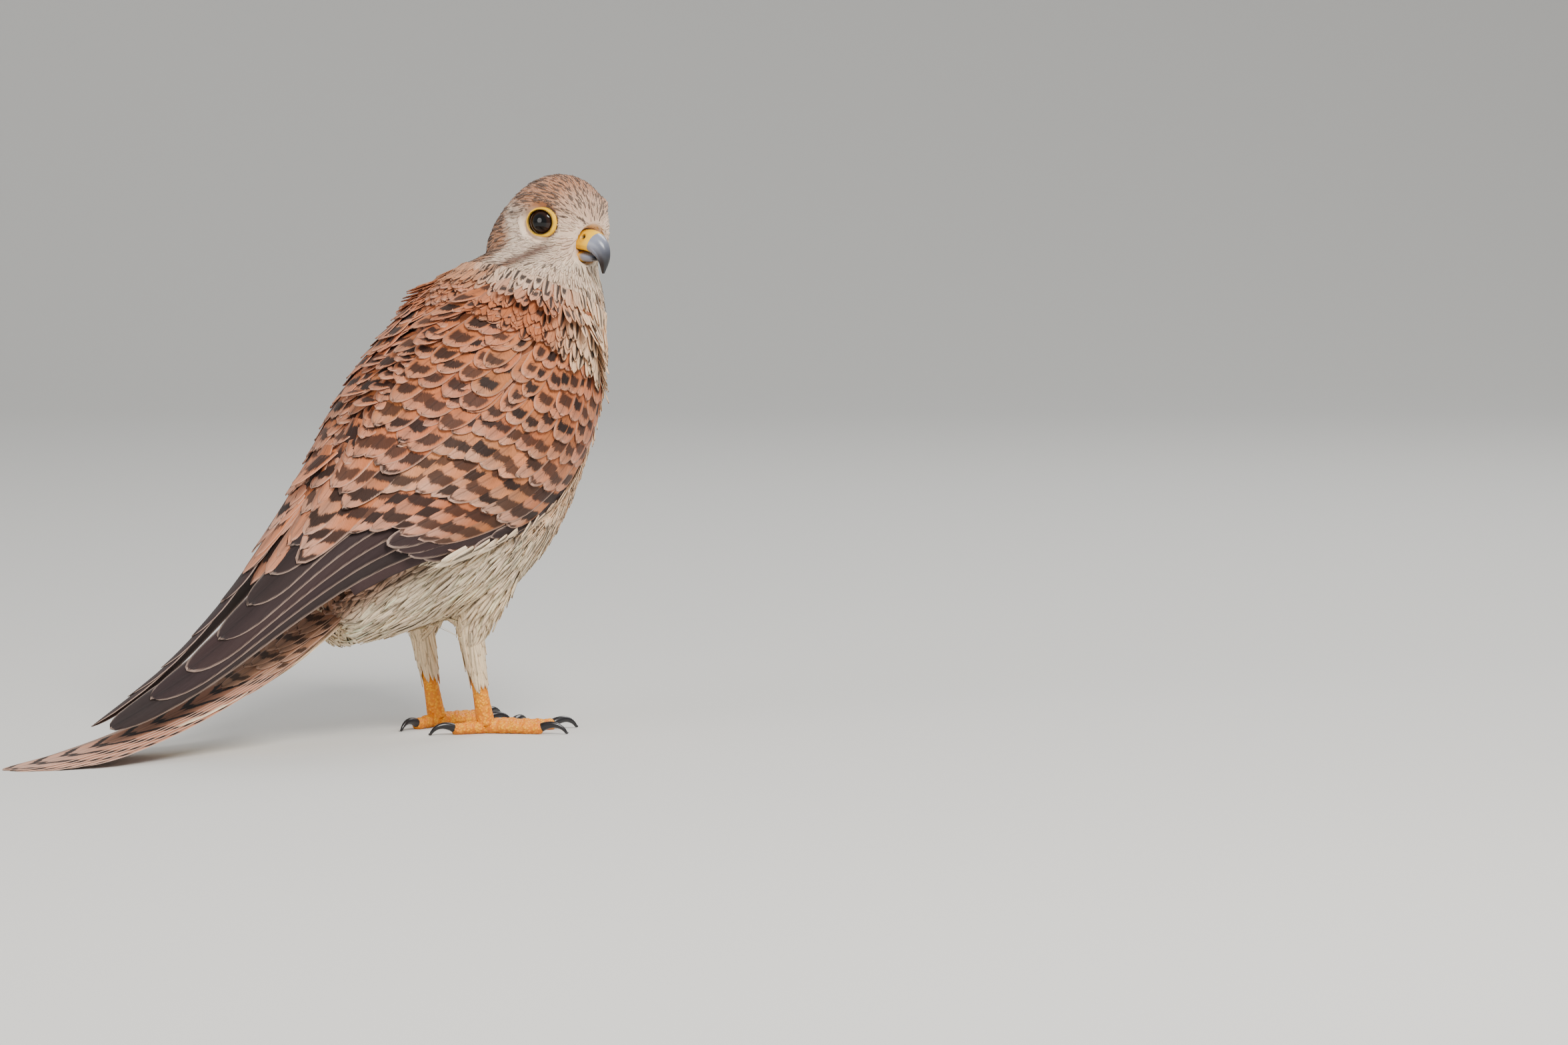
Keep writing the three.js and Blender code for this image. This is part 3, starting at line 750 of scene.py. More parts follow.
def coat(name, roots, length, width, lift, thick=0.22):
    points, normals, root, nearest = roots
    count = len(points)
    length, width, lift = (np.broadcast_to(v, (skin_count,))[nearest] for v in (length, width, lift))
    way = lie(points, normals)
    way = unit(way + np.cross(normals, way) * rng.normal(0, 0.13, count)[:, None])
    side = np.cross(normals, way)
    length = length * rng.uniform(0.82, 1.18, count)
    width = width * rng.uniform(0.85, 1.15, count)
    base, streak, barred = coat_colour(points + way * (length * 0.6)[:, None])

    # On the head the streaks are whole dark feathers, narrower than the rest and lying over them.
    fine = (width < 1.9) & (points[:, 2] > 140)
    inked = fine & (rng.random(count) < 0.42 * streak)
    width = np.where(inked, width * 0.66, width)
    base = base * np.where(inked, 0.16, 1.0)[:, None]
    streak = np.where(fine, 0.0, streak)
    lift = (lift + 0.2 * inked) * rng.uniform(0.7, 1.3, count)

    rows, heights = [], []
    for t, share in OUTLINE:
        centre = points + way * (length * t)[:, None]
        half = (width * share / 2)[:, None]
        rows += [centre - side * half, centre, centre + side * half, centre]
        top = -0.25 + lift * (0.35 + 0.65 * t) * min(1.0, 4 * t + 0.1)
        tilt = 0.06 * width * rng.choice([-1.0, 1.0], count)
        under = top - thick * (1 - 0.6 * t) - 0.08 * width
        heights += [top - 0.1 * width - tilt, top, top - 0.1 * width + tilt, under]
    grid = np.stack(rows, axis=1).reshape(-1, 3)
    tall = stack(*heights).reshape(-1)
    placed = np.empty_like(grid)
    for k, p in enumerate(grid):
        near, normal, _, _ = skin_tree.find_nearest(Vector(p))
        placed[k] = np.array(near) + np.array(normal) * tall[k]

    per = len(OUTLINE) * 4
    caps = [[0, 3, 2, 1], [per - 4, per - 3, per - 2, per - 1]]
    one = np.concatenate([tube_quads(len(OUTLINE), 4), caps])
    quads = (one[None] + (np.arange(count) * per)[:, None, None]).reshape(-1, 4)
    uv = stack(np.tile([0.0, 0.5, 1.0, 0.5], len(OUTLINE)), np.repeat([t for t, _ in OUTLINE], 4))
    uv = np.tile(uv, (count, 1))
    tone = rng.normal(1.0, 0.07, (count, 1)) + rng.normal(0, 0.015, (count, 3))
    base = np.clip(base * tone, 0, 1)
    hit = rng.random(count) < np.clip(streak * 0.8, 0, 1)
    streak = np.where(hit, 0.6 + 0.4 * streak, 0.06) * (1 - 0.8 * barred)
    base = np.concatenate([base, rng.random((count, 1))], axis=1)
    # the third number is the fringe, which also sets the painted sheen on the tips
    mark = stack(streak, barred * 0.95, 0.25 + 0.3 * barred, 1.05)
    rim = stack(*(width * share / 20 * inside for _, share in OUTLINE for inside in (0, 1, 0, 1)))
    rim[:, -4:] = 0
    shape = np.concatenate([np.tile(COAT_BARS, (count * per, 1)), rim.reshape(-1, 1)], axis=1)
    root, base, mark = (np.repeat(values, per, axis=0) for values in (root, base, mark))
    make_piece(name, placed, quads, COAT, uv, root + uv * 0.003, base, mark, shape)
    print(name, "feathers:", count, "triangles:", 2 * len(quads))


# %% [markdown]
# ## The coat, area by area
# The feathers are finest at the face, and grow longer and broader down the neck and over the trunk. Most
# of the back is left to the larger feathers that follow.

# %% Crown, face and neck
height = skin_at[:, 2]
on_head = free & (height > 151)
face = smooth(-10, 8, in_head[:, 0]) * smooth(160, 172, height)
upper_head = on_head & (in_head[:, 2] > -4)
low = smooth(172, 155, height)
coat("coat_crown", spread(upper_head, 0.84 - 0.16 * face), 5.4 - 2.2 * face, 1.15 - 0.3 * face, 0.5, 0.1)
roots = spread(on_head & ~upper_head, 0.84 + 0.3 * low - 0.12 * face)
coat("coat_face", roots, 5.2 + 2.6 * low - 1.4 * face, 1.1 + 0.5 * low - 0.2 * face, 0.6 + 0.4 * low, 0.12)

# %% Breast, belly, mantle and legs
along_skin, angle_skin, _ = body_place(skin_at)
is_leg = (height < 52) & (skin_at[:, 0] > -22) & (np.abs(skin_at[:, 1]) > 4)
trunk = free & ~on_head & ~is_leg
mantle = trunk & (angle_skin > 25) & (along_skin > 0.1)
front = trunk & ~mantle
low_down = smooth(110, 60, height)
coat("coat_breast", spread(front & (height >= 110), 1.6), 10.0, 3.2, 1.4)
roots = spread(front & (height < 110), 1.55 - 0.15 * low_down)
coat("coat_belly", roots, 11 + 4 * low_down, 2.9 - 1.0 * low_down, 1.6 + 0.9 * low_down, 0.15)
coat("coat_mantle", spread(mantle, 3.2), 11.5, 6.0, 1.5)
coat("coat_legs", spread(free & is_leg, 1.15), 11.0, 1.5, 1.4, 0.12)

# %% [markdown]
# ## Wing and tail feathers
# A large feather is a fine grid laid on the wing's or tail's form, from a root to a tip, with a rounded
# end, a slight camber and a tilt that tucks one edge under its neighbour. Rows of them go on from the
# longest, lowest feathers up to the small coverts, each row lifting over the one before.

# %% One large feather, and a set of them as one piece
# thickness of a vane, what the shaft adds to it, and the lowest a feather may lie, all in mm
VANE, SHAFT, FLOOR = 0.13, 0.1, 0.02
GOLDEN = 0.618034


def quill(place, root, tip, half, heights, tilt, blunt=0.7, rows=13, columns=9):
    t = 1 - (1 - np.linspace(0, 1, rows)) ** 1.5
    s = np.linspace(-1, 1, columns)
    width = half * (0.55 + 0.45 * smooth(0, 0.25, t))
    end = np.clip((t - blunt) / (1 - blunt), 0, 1)
    width = width * np.sqrt(np.clip(1.0004 - end**2.2, 0.0004, 1))
    a, c, h = (start + (stop - start) * t for start, stop in zip((*root, heights[0]), (*tip, heights[1])))
    scale = np.linalg.norm(place(a, c - 0.01, h) - place(a, c + 0.01, h), axis=-1) / 0.02
    reach = np.linalg.norm(place(a[-1:], c[-1:], h[-1:]) - place(a[:1], c[:1], h[:1]))
    notch = 0.5 / reach * np.sin(np.arange(columns) * 2.4 + 40 * (tip[0] + tip[1]))
    notch = notch * smooth(0.5, 1, t)[:, None]
    across = c[:, None] + (width / scale)[:, None] * s
    along = a[:, None] + (tip[0] - root[0]) * notch
    t, width = t[:, None], width[:, None]
    top = h[:, None] - 0.05 * width * s**2 + tilt * s
    upper = place(along, across, top)
    lower = place(along, across, top - VANE - SHAFT * (1 - s**2) * (1 - t * 0.6))
    ring = np.concatenate([upper, lower[:, ::-1]], axis=1)
    uv = stack(np.concatenate([(s + 1) / 2, (s[::-1] + 1) / 2]), t)
    span = np.linalg.norm(np.diff(upper[:, columns // 2], axis=0), axis=1).sum()
    rim = np.minimum(width * (1 - np.abs(s)), (1 - t) * span) / 10
    rim = np.concatenate([rim, rim[:, ::-1]], axis=1)
    return ring.reshape(-1, 3), uv.reshape(-1, 2), closed_quads(rows, 2 * columns), rim.reshape(-1, 1)


def feather(mesh, base, mark, shape, extent=1.05):
    """Mark is streak, bars and fringe, and the fringe also sets the painted sheen on the tip. Shape is the
    number of bars, the last one's place and their width.
    """
    return mesh, base, mark, shape, extent


def feather_set(name, feathers, replaces=(), flip=False):
    parts, start = [], 0
    cells = math.ceil(math.sqrt(len(feathers)))
    for k, ((points, uv, quads, rim), base, mark, shape, extent) in enumerate(feathers):
        points[:, 2] = np.maximum(points[:, 2], FLOOR)
        bake = np.array([k % cells, k // cells]) / cells + (0.04 + 0.92 * uv) / cells
        numbers = ([*base, (k * GOLDEN) % 1.0], [*mark, extent], shape)
        base, mark, shape = (np.tile(row, (len(points), 1)) for row in numbers)
        parts.append((points, quads + start, uv, bake, base, mark, np.concatenate([shape, rim], axis=1)))
        start += len(points)
    points, quads, *painted = (np.concatenate(column) for column in zip(*parts))
    make_piece(name, points, quads, VANES, *painted, replaces=replaces, flip=flip)
    print(name, "feathers:", len(feathers), "triangles:", 2 * len(quads))


# %% [markdown]
# ## The folded wing
# The flight feathers come first: seven primaries whose dark tips step along the wing, then the barred
# secondaries and tertials. Rows of coverts and scapulars follow, each given by where its first and last
# tips lie, how long its feathers are and how they are marked. Small random steps keep neighbours from
# matching.

# %% Rows of wing feathers
RUFOUS = srgb(188, 110, 66)
WARM = srgb(204, 128, 82)
DUSK = srgb(50, 36, 36)
# count, first tip, last tip, length, half width, lift, bars, last bar, duty, bar reach, colour, fringe
# (which also sets the painted tip sheen)
ROWS = [
    (9, (0.52, 0.9), (0.635, 0.3), 0.24, 6.3, 0.45, 5.2, 0.84, 0.46, 1.05, RUFOUS, 0.95),
    (4, (0.69, 0.3), (0.63, 0.09), 0.26, 6.8, 0.95, 5.4, 0.86, 0.44, 1.05, RUFOUS, 0.95),
    (12, (0.4, 0.965), (0.565, 0.25), 0.18, 5.6, 0.85, 3.6, 0.8, 0.44, 1.0, WARM, 1.0),
    (12, (0.3, 0.965), (0.47, 0.27), 0.13, 5.2, 1.0, 2.6, 0.75, 0.42, 0.95, WARM, 0.7),
    (13, (0.245, 0.96), (0.4, 0.3), 0.11, 4.6, 1.1, 2.2, 0.72, 0.4, 0.85, RUFOUS, 0.6),
    (13, (0.2, 0.96), (0.335, 0.32), 0.095, 4.2, 1.2, 1.9, 0.7, 0.38, 0.7, RUFOUS, 0.5),
    (13, (0.16, 0.96), (0.28, 0.3), 0.085, 3.9, 1.25, 1.7, 0.7, 0.36, 0.62, RUFOUS, 0.45),
    (13, (0.12, 0.96), (0.225, 0.3), 0.075, 3.6, 1.3, 1.6, 0.68, 0.36, 0.6, RUFOUS, 0.42),
    (12, (0.09, 0.96), (0.175, 0.26), 0.065, 3.3, 1.3, 1.5, 0.68, 0.36, 0.58, RUFOUS, 0.4),
    (11, (0.06, 0.95), (0.13, 0.2), 0.058, 3.1, 1.3, 1.4, 0.68, 0.36, 0.55, RUFOUS, 0.4),
    (10, (0.03, 0.93), (0.09, 0.15), 0.052, 3.0, 1.25, 1.4, 0.68, 0.36, 0.55, RUFOUS, 0.4),
    (4, (0.585, 0.27), (0.57, 0.05), 0.17, 6.6, 1.6, 3.6, 0.8, 0.46, 0.95, RUFOUS, 0.75),
    (5, (0.515, 0.31), (0.5, 0.04), 0.15, 6.4, 1.8, 3.0, 0.78, 0.46, 0.85, RUFOUS, 0.65),
    (5, (0.45, 0.34), (0.435, 0.04), 0.14, 6.2, 1.9, 2.6, 0.76, 0.46, 0.8, RUFOUS, 0.6),
    (5, (0.39, 0.35), (0.375, 0.04), 0.13, 6.0, 1.95, 2.4, 0.75, 0.44, 0.75, RUFOUS, 0.55),
    (5, (0.33, 0.36), (0.315, 0.04), 0.12, 5.8, 2.0, 2.2, 0.74, 0.44, 0.72, RUFOUS, 0.5),
    (6, (0.275, 0.36), (0.26, 0.04), 0.11, 5.4, 2.0, 2.0, 0.72, 0.42, 0.7, RUFOUS, 0.5),
    (6, (0.22, 0.34), (0.205, 0.04), 0.1, 5.0, 2.0, 1.9, 0.72, 0.4, 0.68, RUFOUS, 0.45),
    (6, (0.165, 0.32), (0.15, 0.04), 0.09, 4.6, 1.9, 1.8, 0.7, 0.38, 0.65, RUFOUS, 0.4),
    (5, (0.115, 0.28), (0.1, 0.04), 0.08, 4.2, 1.7, 1.7, 0.68, 0.38, 0.6, RUFOUS, 0.4),
]
# root across, tip along, tip across
PRIMARIES = [
    (0.92, 1.0, 0.36), (0.83, 0.935, 0.3), (0.74, 0.875, 0.25), (0.65, 0.82, 0.2),
    (0.56, 0.765, 0.16), (0.47, 0.715, 0.12), (0.39, 0.67, 0.1),
]
# root across, tip along, tip across, half width
PRIMARY_COVERTS = [
    (0.97, 0.56, 0.9, 4.4), (0.93, 0.575, 0.84, 4.4), (0.88, 0.585, 0.77, 4.4),
    (0.82, 0.59, 0.7, 4.4), (0.97, 0.485, 0.965, 3.6), (0.97, 0.455, 0.93, 3.4),
]

print("wing rows:", len(ROWS), "with feathers:", sum(row[0] for row in ROWS))

# %% [markdown]
# ## Both wings
# Primaries and their coverts are laid first and the rows after them. Feathers that would start in front
# of the shoulder are left out, and those next to the back reach over its edge on the side that the camera
# sees.

# %% Lay one wing's feathers, then both wings
def in_rim(along, across, height):
    return on_wing(along, np.clip(across, -0.16, 1.0), np.maximum(height, 0.1))


def wing_feathers(seed, inner):
    """One wing's feathers. Inner is how far the ones next to the back reach past the wing's edge."""
    dice = np.random.default_rng(seed)
    feathers = []

    def add(mesh, base, mark, shape, extent=1.05):
        base = np.clip(base * dice.uniform(0.86, 1.14) * dice.normal(1, 0.03, 3), 0, 1)
        feathers.append(feather(mesh, base, mark, shape, extent))

    for i, (root_across, *tip) in enumerate(PRIMARIES):
        heights = (0.7 + 0.4 * i, 0.7 + 0.4 * i)
        mesh = quill(in_rim, (0.36, root_across), tip, 6.9, heights, 0.12, 0.86, rows=26)
        add(mesh, DUSK, (0.2, 0.0, 0.75), (8, 0.5, 0.3))
    for i, (root_across, tip_along, tip_across, half) in enumerate(PRIMARY_COVERTS):
        height = wing_depth(tip_along, min(tip_across, 0.9))
        heights = (height + 0.2, height + 0.25 + 0.12 * i)
        mesh = quill(in_rim, (tip_along - 0.17, root_across), (tip_along, tip_across), half, heights, 0.15)
        add(mesh, DUSK * 1.2, (0.2, 0.0, 0.8), (3, 0.5, 0.3))
    for count, first, last, length, half, lift, bars, last_bar, duty, extent, colour, fringe in ROWS:
        small = max(0.0, 0.14 - length) * 8
        for i in range(count):
            f = i / (count - 1)
            along = first[0] + (last[0] - first[0]) * f + dice.normal(0, 0.004 + 0.006 * small)
            across = first[1] + (last[1] - first[1]) * f + dice.normal(0, 0.007 + 0.012 * small)
            across = min(across, 0.97)
            if along < 0.02 + 0.1 * across:
                continue
            if last[1] < 0.1 and f > 0.75:
                across -= inner
            root = (along - length, min(across + 0.015, 0.97))
            root_depth = wing_depth(max(root[0], 0.0), max(root[1], 0.0))
            tip_depth = wing_depth(along, max(across, 0.05))
            raised = tip_depth + lift + 6 * inner * (across < 0.05) + dice.normal(0, 0.1)
            grown = half * dice.uniform(0.86, 1.1)
            heights = (root_depth - 0.5, raised)
            mesh = quill(in_rim, root, (along, across), grown, heights, 0.22, dice.uniform(0.5, 0.68))
            mark = (0.25 * (dice.random() < 0.5), dice.uniform(0.85, 1), fringe * dice.uniform(0.75, 1.1))
            shape = (bars, last_bar + dice.normal(0, 0.045), duty * dice.uniform(0.95, 1.4))
            add(mesh, colour, mark, shape, extent * dice.uniform(0.9, 1.25))
    return feathers


feather_set("wing_feathers_right", wing_feathers(3, 0.1), ["wing_right"])
feather_set("wing_feathers_left", wing_feathers(4, 0.0), ["wing_left"], flip=True)

# %% [markdown]
# ## The slab under the wing feathers
# Between feather rows a little of what lies beneath can show. A thin closed slab of the wing's own form
# goes there in the same colours, so no gap opens on to the floor behind.

# %% Wing slabs
SLAB_END = 0.66
A, C = np.meshgrid(np.linspace(0.005, SLAB_END, 44), np.linspace(0.02, 0.98, 34), indexing="ij")
start = 0.02 + 0.45 * smooth(0.45, 0.7, A)
across = start + (0.975 - start) * C
top = on_wing(A, across, 0.4 + wing_depth(A, across) * 0.7 * (1 - smooth(0.34, 0.44, A)))
low = on_wing(A, across, 0.12)
slab_points = np.concatenate([top, low[:, ::-1]], axis=1).reshape(-1, 3)
around = 2 * C.shape[1]
slab_quads = closed_quads(len(A), around)
slab_along = np.repeat(A[:, 0], around)
slab_uv = stack(np.concatenate([C * 0.5, 1 - C[:, ::-1] * 0.5], axis=1).reshape(-1), slab_along / SLAB_END)
slab_base = blend(DUSK * 1.6, RUFOUS * 0.6, smooth(0.36, 0.26, slab_along))
flat = np.ones((len(slab_points), 3))
slab = (slab_points, slab_quads, VANES, 0.25 * flat[:, :2], slab_uv, slab_base, 0 * flat, 0.5 * flat)
for side in ("right", "left"):
    make_piece(f"wing_slab_{side}", *slab, flip=side == "left")
print("slab quads:", len(slab_quads))

# %% [markdown]
# ## Feathers over the joins
# On a live bird nothing shows where the wing ends and the body begins: back feathers fill the middle,
# neck feathers run down over the shoulders, and flank feathers close over the wing's lower edge. These
# are laid by angle around the back, and rays find how high the bird's surface is under each one.

# %% Height of the bird's surface, and feathers laid by angle
RAY_FROM = 16.0
RAY_TO = -9.0


def on_back(along, angle, height):
    return on_form(MANTLE, along, angle, height)


def surface_height(along, angle):
    outer, inner = (Vector(on_back(along, angle, height)) for height in (RAY_FROM, RAY_TO))
    way = (inner - outer).normalized()
    best = (inner - outer).length
    for tree in (skin_tree, *wing_trees):
        hit = tree.ray_cast(outer, way, best)
        if hit[0] is not None:
            best = hit[3]
    return RAY_FROM - (RAY_FROM - RAY_TO) * best / (inner - outer).length


def laid(root, tip, half, lift, base, mark, shape, extent, blunt=0.55):
    """A feather whose root is sunk in the surface and whose tip lifts clear of all that lies under it."""
    stops = np.linspace(0, 1, 6)
    seen = np.array([surface_height(*(a + (b - a) * t for a, b in zip(root, tip))) for t in stops])
    low, high = seen[0] - 0.6, seen[-1] + lift
    short = (seen + 0.25 * lift - (low + (high - low) * stops))[1:].max()
    raised = max(0.0, short)
    heights = (low + 0.5 * raised, high + raised)
    mesh = quill(on_back, root, tip, half, heights, 0.15, blunt, rows=8, columns=5)
    return feather(mesh, base, mark, shape, extent)


dice = np.random.default_rng(21)
MIDDLE = []
for along in np.arange(0.07, 0.74, 0.024):
    reach = 18 - 5 * smooth(0.1, 0.5, along)
    for angle in np.arange(90 - reach, 90 + reach + 0.1, 6.5):
        tip = (along + dice.normal(0, 0.006), angle + dice.normal(0, 1.5))
        length = 0.07 + 0.08 * along + 0.1 * smooth(0.5, 0.6, along)
        base = RUFOUS * dice.uniform(0.86, 1.14)
        mark = (0.25 * (dice.random() < 0.5), dice.uniform(0.85, 1), 0.5)
        shape = (2.0, 0.72 + dice.normal(0, 0.03), 0.42)
        root = (tip[0] - length, 90 + (tip[1] - 90) * 0.8)
        lift = 1.9 - 1.2 * smooth(0.45, 0.6, along)
        MIDDLE.append(laid(root, tip, 4.2 + 2 * along, lift, base, mark, shape, 0.75))
feather_set("middle_feathers", MIDDLE)

# %% Cape over neck and shoulders
CAPE = []
for along in np.arange(-0.075, 0.125, 0.0115):
    lowest = -62 - 34 * smooth(0.0, -0.06, along)
    for angle in np.arange(lowest, 180 - lowest, 4.7):
        tip = (along + dice.normal(0, 0.006), angle + dice.normal(0, 1.6))
        base, streak, _ = coat_colour(on_back(tip[:1], tip[1:], 0.0))
        back = smooth(-5, 30, 82 - abs(90 - angle)) * smooth(-0.01, 0.1, along)
        base = blend(base[0], RUFOUS, 0.85 * back) * dice.uniform(0.88, 1.1)
        spotted = 1.0 * (dice.random() < 0.12 + 0.4 * back)
        streaked = 0.95 * (dice.random() < 0.5 * (1 - back) + 0.12)
        mark = (streaked * (1 - spotted), spotted * 0.95, 0.12)
        shape = (1.4, 0.66 + dice.normal(0, 0.04), 0.34 + 0.05 * back)
        half = 1.25 + 1.15 * smooth(-0.05, 0.1, along)
        lift = 0.6 + 1.2 * smooth(-0.02, 0.05, along)
        root = (tip[0] - 0.06, tip[1] + dice.normal(0, 0.8))
        CAPE.append(laid(root, tip, half, lift, base, mark, shape, 0.7, 0.25))
feather_set("cape_feathers", CAPE)

# %% Flanks below the wings
FLANK = []
for along in np.arange(0.03, 0.56, 0.0135):
    lower = read(WING_EDGES, along)[1]
    for offset, over in ((-15, 0.8), (-10, 1.0), (-5.5, 1.3), (-1.5, 2.2), (2.0, 2.5)):
        tip = (along + dice.normal(0, 0.008), lower + offset + dice.normal(0, 1.2))
        base = blend(BREAST, BELLY, smooth(0.3, 0.55, along)) * dice.uniform(0.9, 1.06)
        streaked = 0.85 * (dice.random() < 0.6 - 0.3 * smooth(0.35, 0.55, along))
        length = 0.065 + 0.05 * along
        root = (tip[0] - length, tip[1] - 7 - 5 * (offset > -3))
        FLANK.append(laid(root, tip, 2.3, over, base, (streaked, 0.0, 0.2), (1, 0.5, 0.3), 1.0, 0.35))
for side in ("right", "left"):
    feather_set(f"flank_feathers_{side}", FLANK, flip=side == "left")

# %% [markdown]
# ## Feathers down the shanks
# A kestrel's thigh feathers hang well down the leg. They are laid around the line of each shank, in four
# rows.

# %% Trousers
SHANK_LENGTH = 34.3


def shank_line(t):
    return stack(-7 + 7 * t, -LEG_SPREAD, 37 - 33.6 * t)


def on_shank(down, angle, height):
    turn = np.radians(angle)
    reach = 2.9 + height
    return shank_line(down / SHANK_LENGTH) + stack(np.cos(turn) * reach, np.sin(turn) * reach, 0)


TROUSERS = []
for row, (down, out) in enumerate(((20.0, 0.5), (15.0, 0.9), (10.0, 1.3), (5.0, 1.7))):
    for k in range(16):
        angle = 22.5 * k + 11 * (row % 2) + dice.normal(0, 4)
        tip = (down + dice.normal(0, 2.2), angle + dice.normal(0, 5))
        mesh = quill(on_shank, (tip[0] - 15, angle), tip, 1.3, (out + 0.5, out), 0.1, 0.3, rows=8, columns=5)
        base = THIGH * dice.uniform(0.92, 1.03)
        TROUSERS.append(feather(mesh, base, (0.35 * (k % 5 == 0), 0.0, 0.2), (2, 0.5, 0.3)))
for side in ("right", "left"):
    feather_set(f"trouser_feathers_{side}", TROUSERS, flip=side == "left")

# %% [markdown]
# ## The tail
# Twelve long feathers lie in a narrow fan, the middle pair on top and each next one lower and a little
# shorter. They carry many dark bars of one width, the last of them near the tip. Rows of coverts hide
# their roots above and below.

# %% Tail feathers and tail coverts
TAIL_STEPS = [0, 1, 4, 9, 15, 22]
TAIL_COLOUR = srgb(198, 138, 108)
tail = []
dice = np.random.default_rng(9)
for i, short in enumerate(TAIL_STEPS):
    for side in (1, -1):
        root = (0.0, side * (0.8 + 0.7 * i))
        tip = (TAIL_LENGTH - short + 0.8 * (side > 0), side * (1.7 + 1.8 * i))
        heights = (2.1 - 0.42 * i, 2.0 - 0.42 * i)
        mesh = quill(on_tail, root, tip, 6.4, heights, 0.1 * side, 0.86, rows=30)
        base = TAIL_COLOUR * dice.uniform(0.92, 1.08)
        tail.append(feather(mesh, base, (0.1, 1.0, 1.0), (12.0, 0.925, 0.36)))
feather_set("tail_feathers", tail, ["tail"])

coverts = []
for row in range(5):
    for k in range(5):
        side = (k - 2) * (4.6 - 0.3 * row) + dice.normal(0, 0.3)
        tip = 62 - row * 11 + dice.normal(0, 1)
        height = 3.0 + 0.9 * row - 0.035 * side**2
        mesh = quill(on_tail, (tip - 34, side * 0.8), (tip, side), 5.2, (height - 0.6, height - 0.3), 0.15)
        coverts.append(feather(mesh, RUMP * dice.uniform(0.9, 1.1), (0.2, 0.85, 0.5), (3.0, 0.8, 0.34)))
        low = -1.6 - 1.0 * row + 0.03 * side**2
        tip = 92 - row * 13 + dice.normal(0, 3)
        mesh = quill(on_tail, (tip - 48, side * 0.8), (tip, side * 1.1), 4.2, (low - 1.5, low), -0.1, 0.4)
        base = BELLY * dice.uniform(0.94, 1.05)
        coverts.append(feather(mesh, base, (0.3 * (k % 2), 0.0, 0.3), (1, 0.5, 0.3)))
feather_set("tail_coverts", coverts)

# %% [markdown]
# ## Bill, cere and eyes
# The face is what a viewer looks at first. Bill and cere are lofted finely from the same stations as the
# solids, and their colours are worked out point by point: blue-grey horn that darkens to the hooked tip,
# yellow cere with a shallow round nostril filled with painted shade, and a yellow corner of the mouth.
# Each eye is a smooth ball with a ring of lid around it.

# %% Bill and cere
YELLOW = srgb(255, 198, 0)
AMBER = srgb(226, 160, 20)
# painted shade for the inside of the nostril
NOSTRIL_SHADE = srgb(40, 26, 12)
HORN_GREY = srgb(138, 144, 162)
HORN_DARK = srgb(28, 28, 34)


def circle(count):
    return np.linspace(0, 2 * math.pi, count, endpoint=False)


def loft_table(table, ts, around, out=0.0):
    x, z, pitch, up, down, side = (v[:, None] for v in read(table, ts))
    angle = circle(around)
    lift = np.sin(angle)
    reach = lift * (np.where(lift > 0, up, down) + out)
    lean = np.radians(pitch)
    return stack(x + np.sin(lean) * reach, np.cos(angle) * (side + out), z + np.cos(lean) * reach)


def flat_uv(rows, around):
    u, v = np.meshgrid(np.linspace(0, 1, around), np.linspace(0, 1, rows))
    return stack(u, v).reshape(-1, 2)


def head_piece(name, rings, base, material, replaces, quads=None):
    """A piece of rings given in the head's frame, closed at both ends unless its faces are given."""
    if quads is None:
        quads = closed_quads(*rings.shape[:2])
    uv = flat_uv(*rings.shape[:2])
    points = from_head(rings.reshape(-1, 3))
    make_piece(name, points, quads, material, uv, uv, base.reshape(-1, 3), replaces=replaces)


rings = loft_table(BILL, np.linspace(0.02, 0.475, 60), 72, 0.12)
cere_base = YELLOW
for side in (1, -1):
    distance = np.linalg.norm(rings - np.array([13.4, side * 4.5, -5.0]), axis=-1)
    dent = 1 - smooth(0.55, 1.15, distance)
    rings = rings - dent[..., None] * np.array([0.0, side * 1.1, 0.0])
    # painted shade: the shallow dent of each nostril is coloured dark in place of a deep hole
    cere_base = blend(cere_base, NOSTRIL_SHADE, dent)
    cere_base = blend(cere_base, AMBER, 0.6 * (smooth(2.4, 1.2, distance) - dent).clip(0, 1))
head_piece("cere_skin", rings, cere_base, CERE, ["cere"])

ts = 0.455 + 0.545 * np.sin(np.linspace(0, math.pi / 2, 56))
rings = loft_table(BILL, ts, 56)
keel = smooth(0.5, 0.75, ts)[:, None]
rings[..., 1] *= 1 - 0.12 * keel * np.abs(np.cos(circle(56))) ** 2 * (np.sin(circle(56)) > 0)
horn = blend(HORN_GREY, HORN_DARK, np.repeat(smooth(0.52, 0.88, ts)[:, None], 56, axis=1))
head_piece("bill_upper_horn", rings, horn, HORN, ["bill_upper"])

ts = np.linspace(0.02, 1, 40)
rings = loft_table(CHIN_BILL, ts, 48)
chin = blend(YELLOW, HORN_GREY, np.repeat(smooth(0.3, 0.5, ts)[:, None], 48, axis=1))
chin = blend(chin, HORN_DARK, smooth(0.75, 0.95, ts)[:, None])
head_piece("bill_lower_horn", rings, chin, HORN, ["bill_lower"])
print("bill and cere made")

# %% Eyes and lids
IRIS = srgb(40, 22, 14)
PUPIL = srgb(3, 3, 4)
LID_EDGE = srgb(60, 44, 18)
LID_SQUASH = 0.93
LID_RINGS, LID_POINTS = 72, 16


def spokes(out, radius, turn, axis, ahead, up, squash=1.0):
    """Points round an axis, each some way out along it and at a radius from it."""
    parts = ((out, axis), (radius * np.cos(turn), ahead), (radius * squash * np.sin(turn), up))
    return sum(reach[..., None] * way for reach, way in parts)


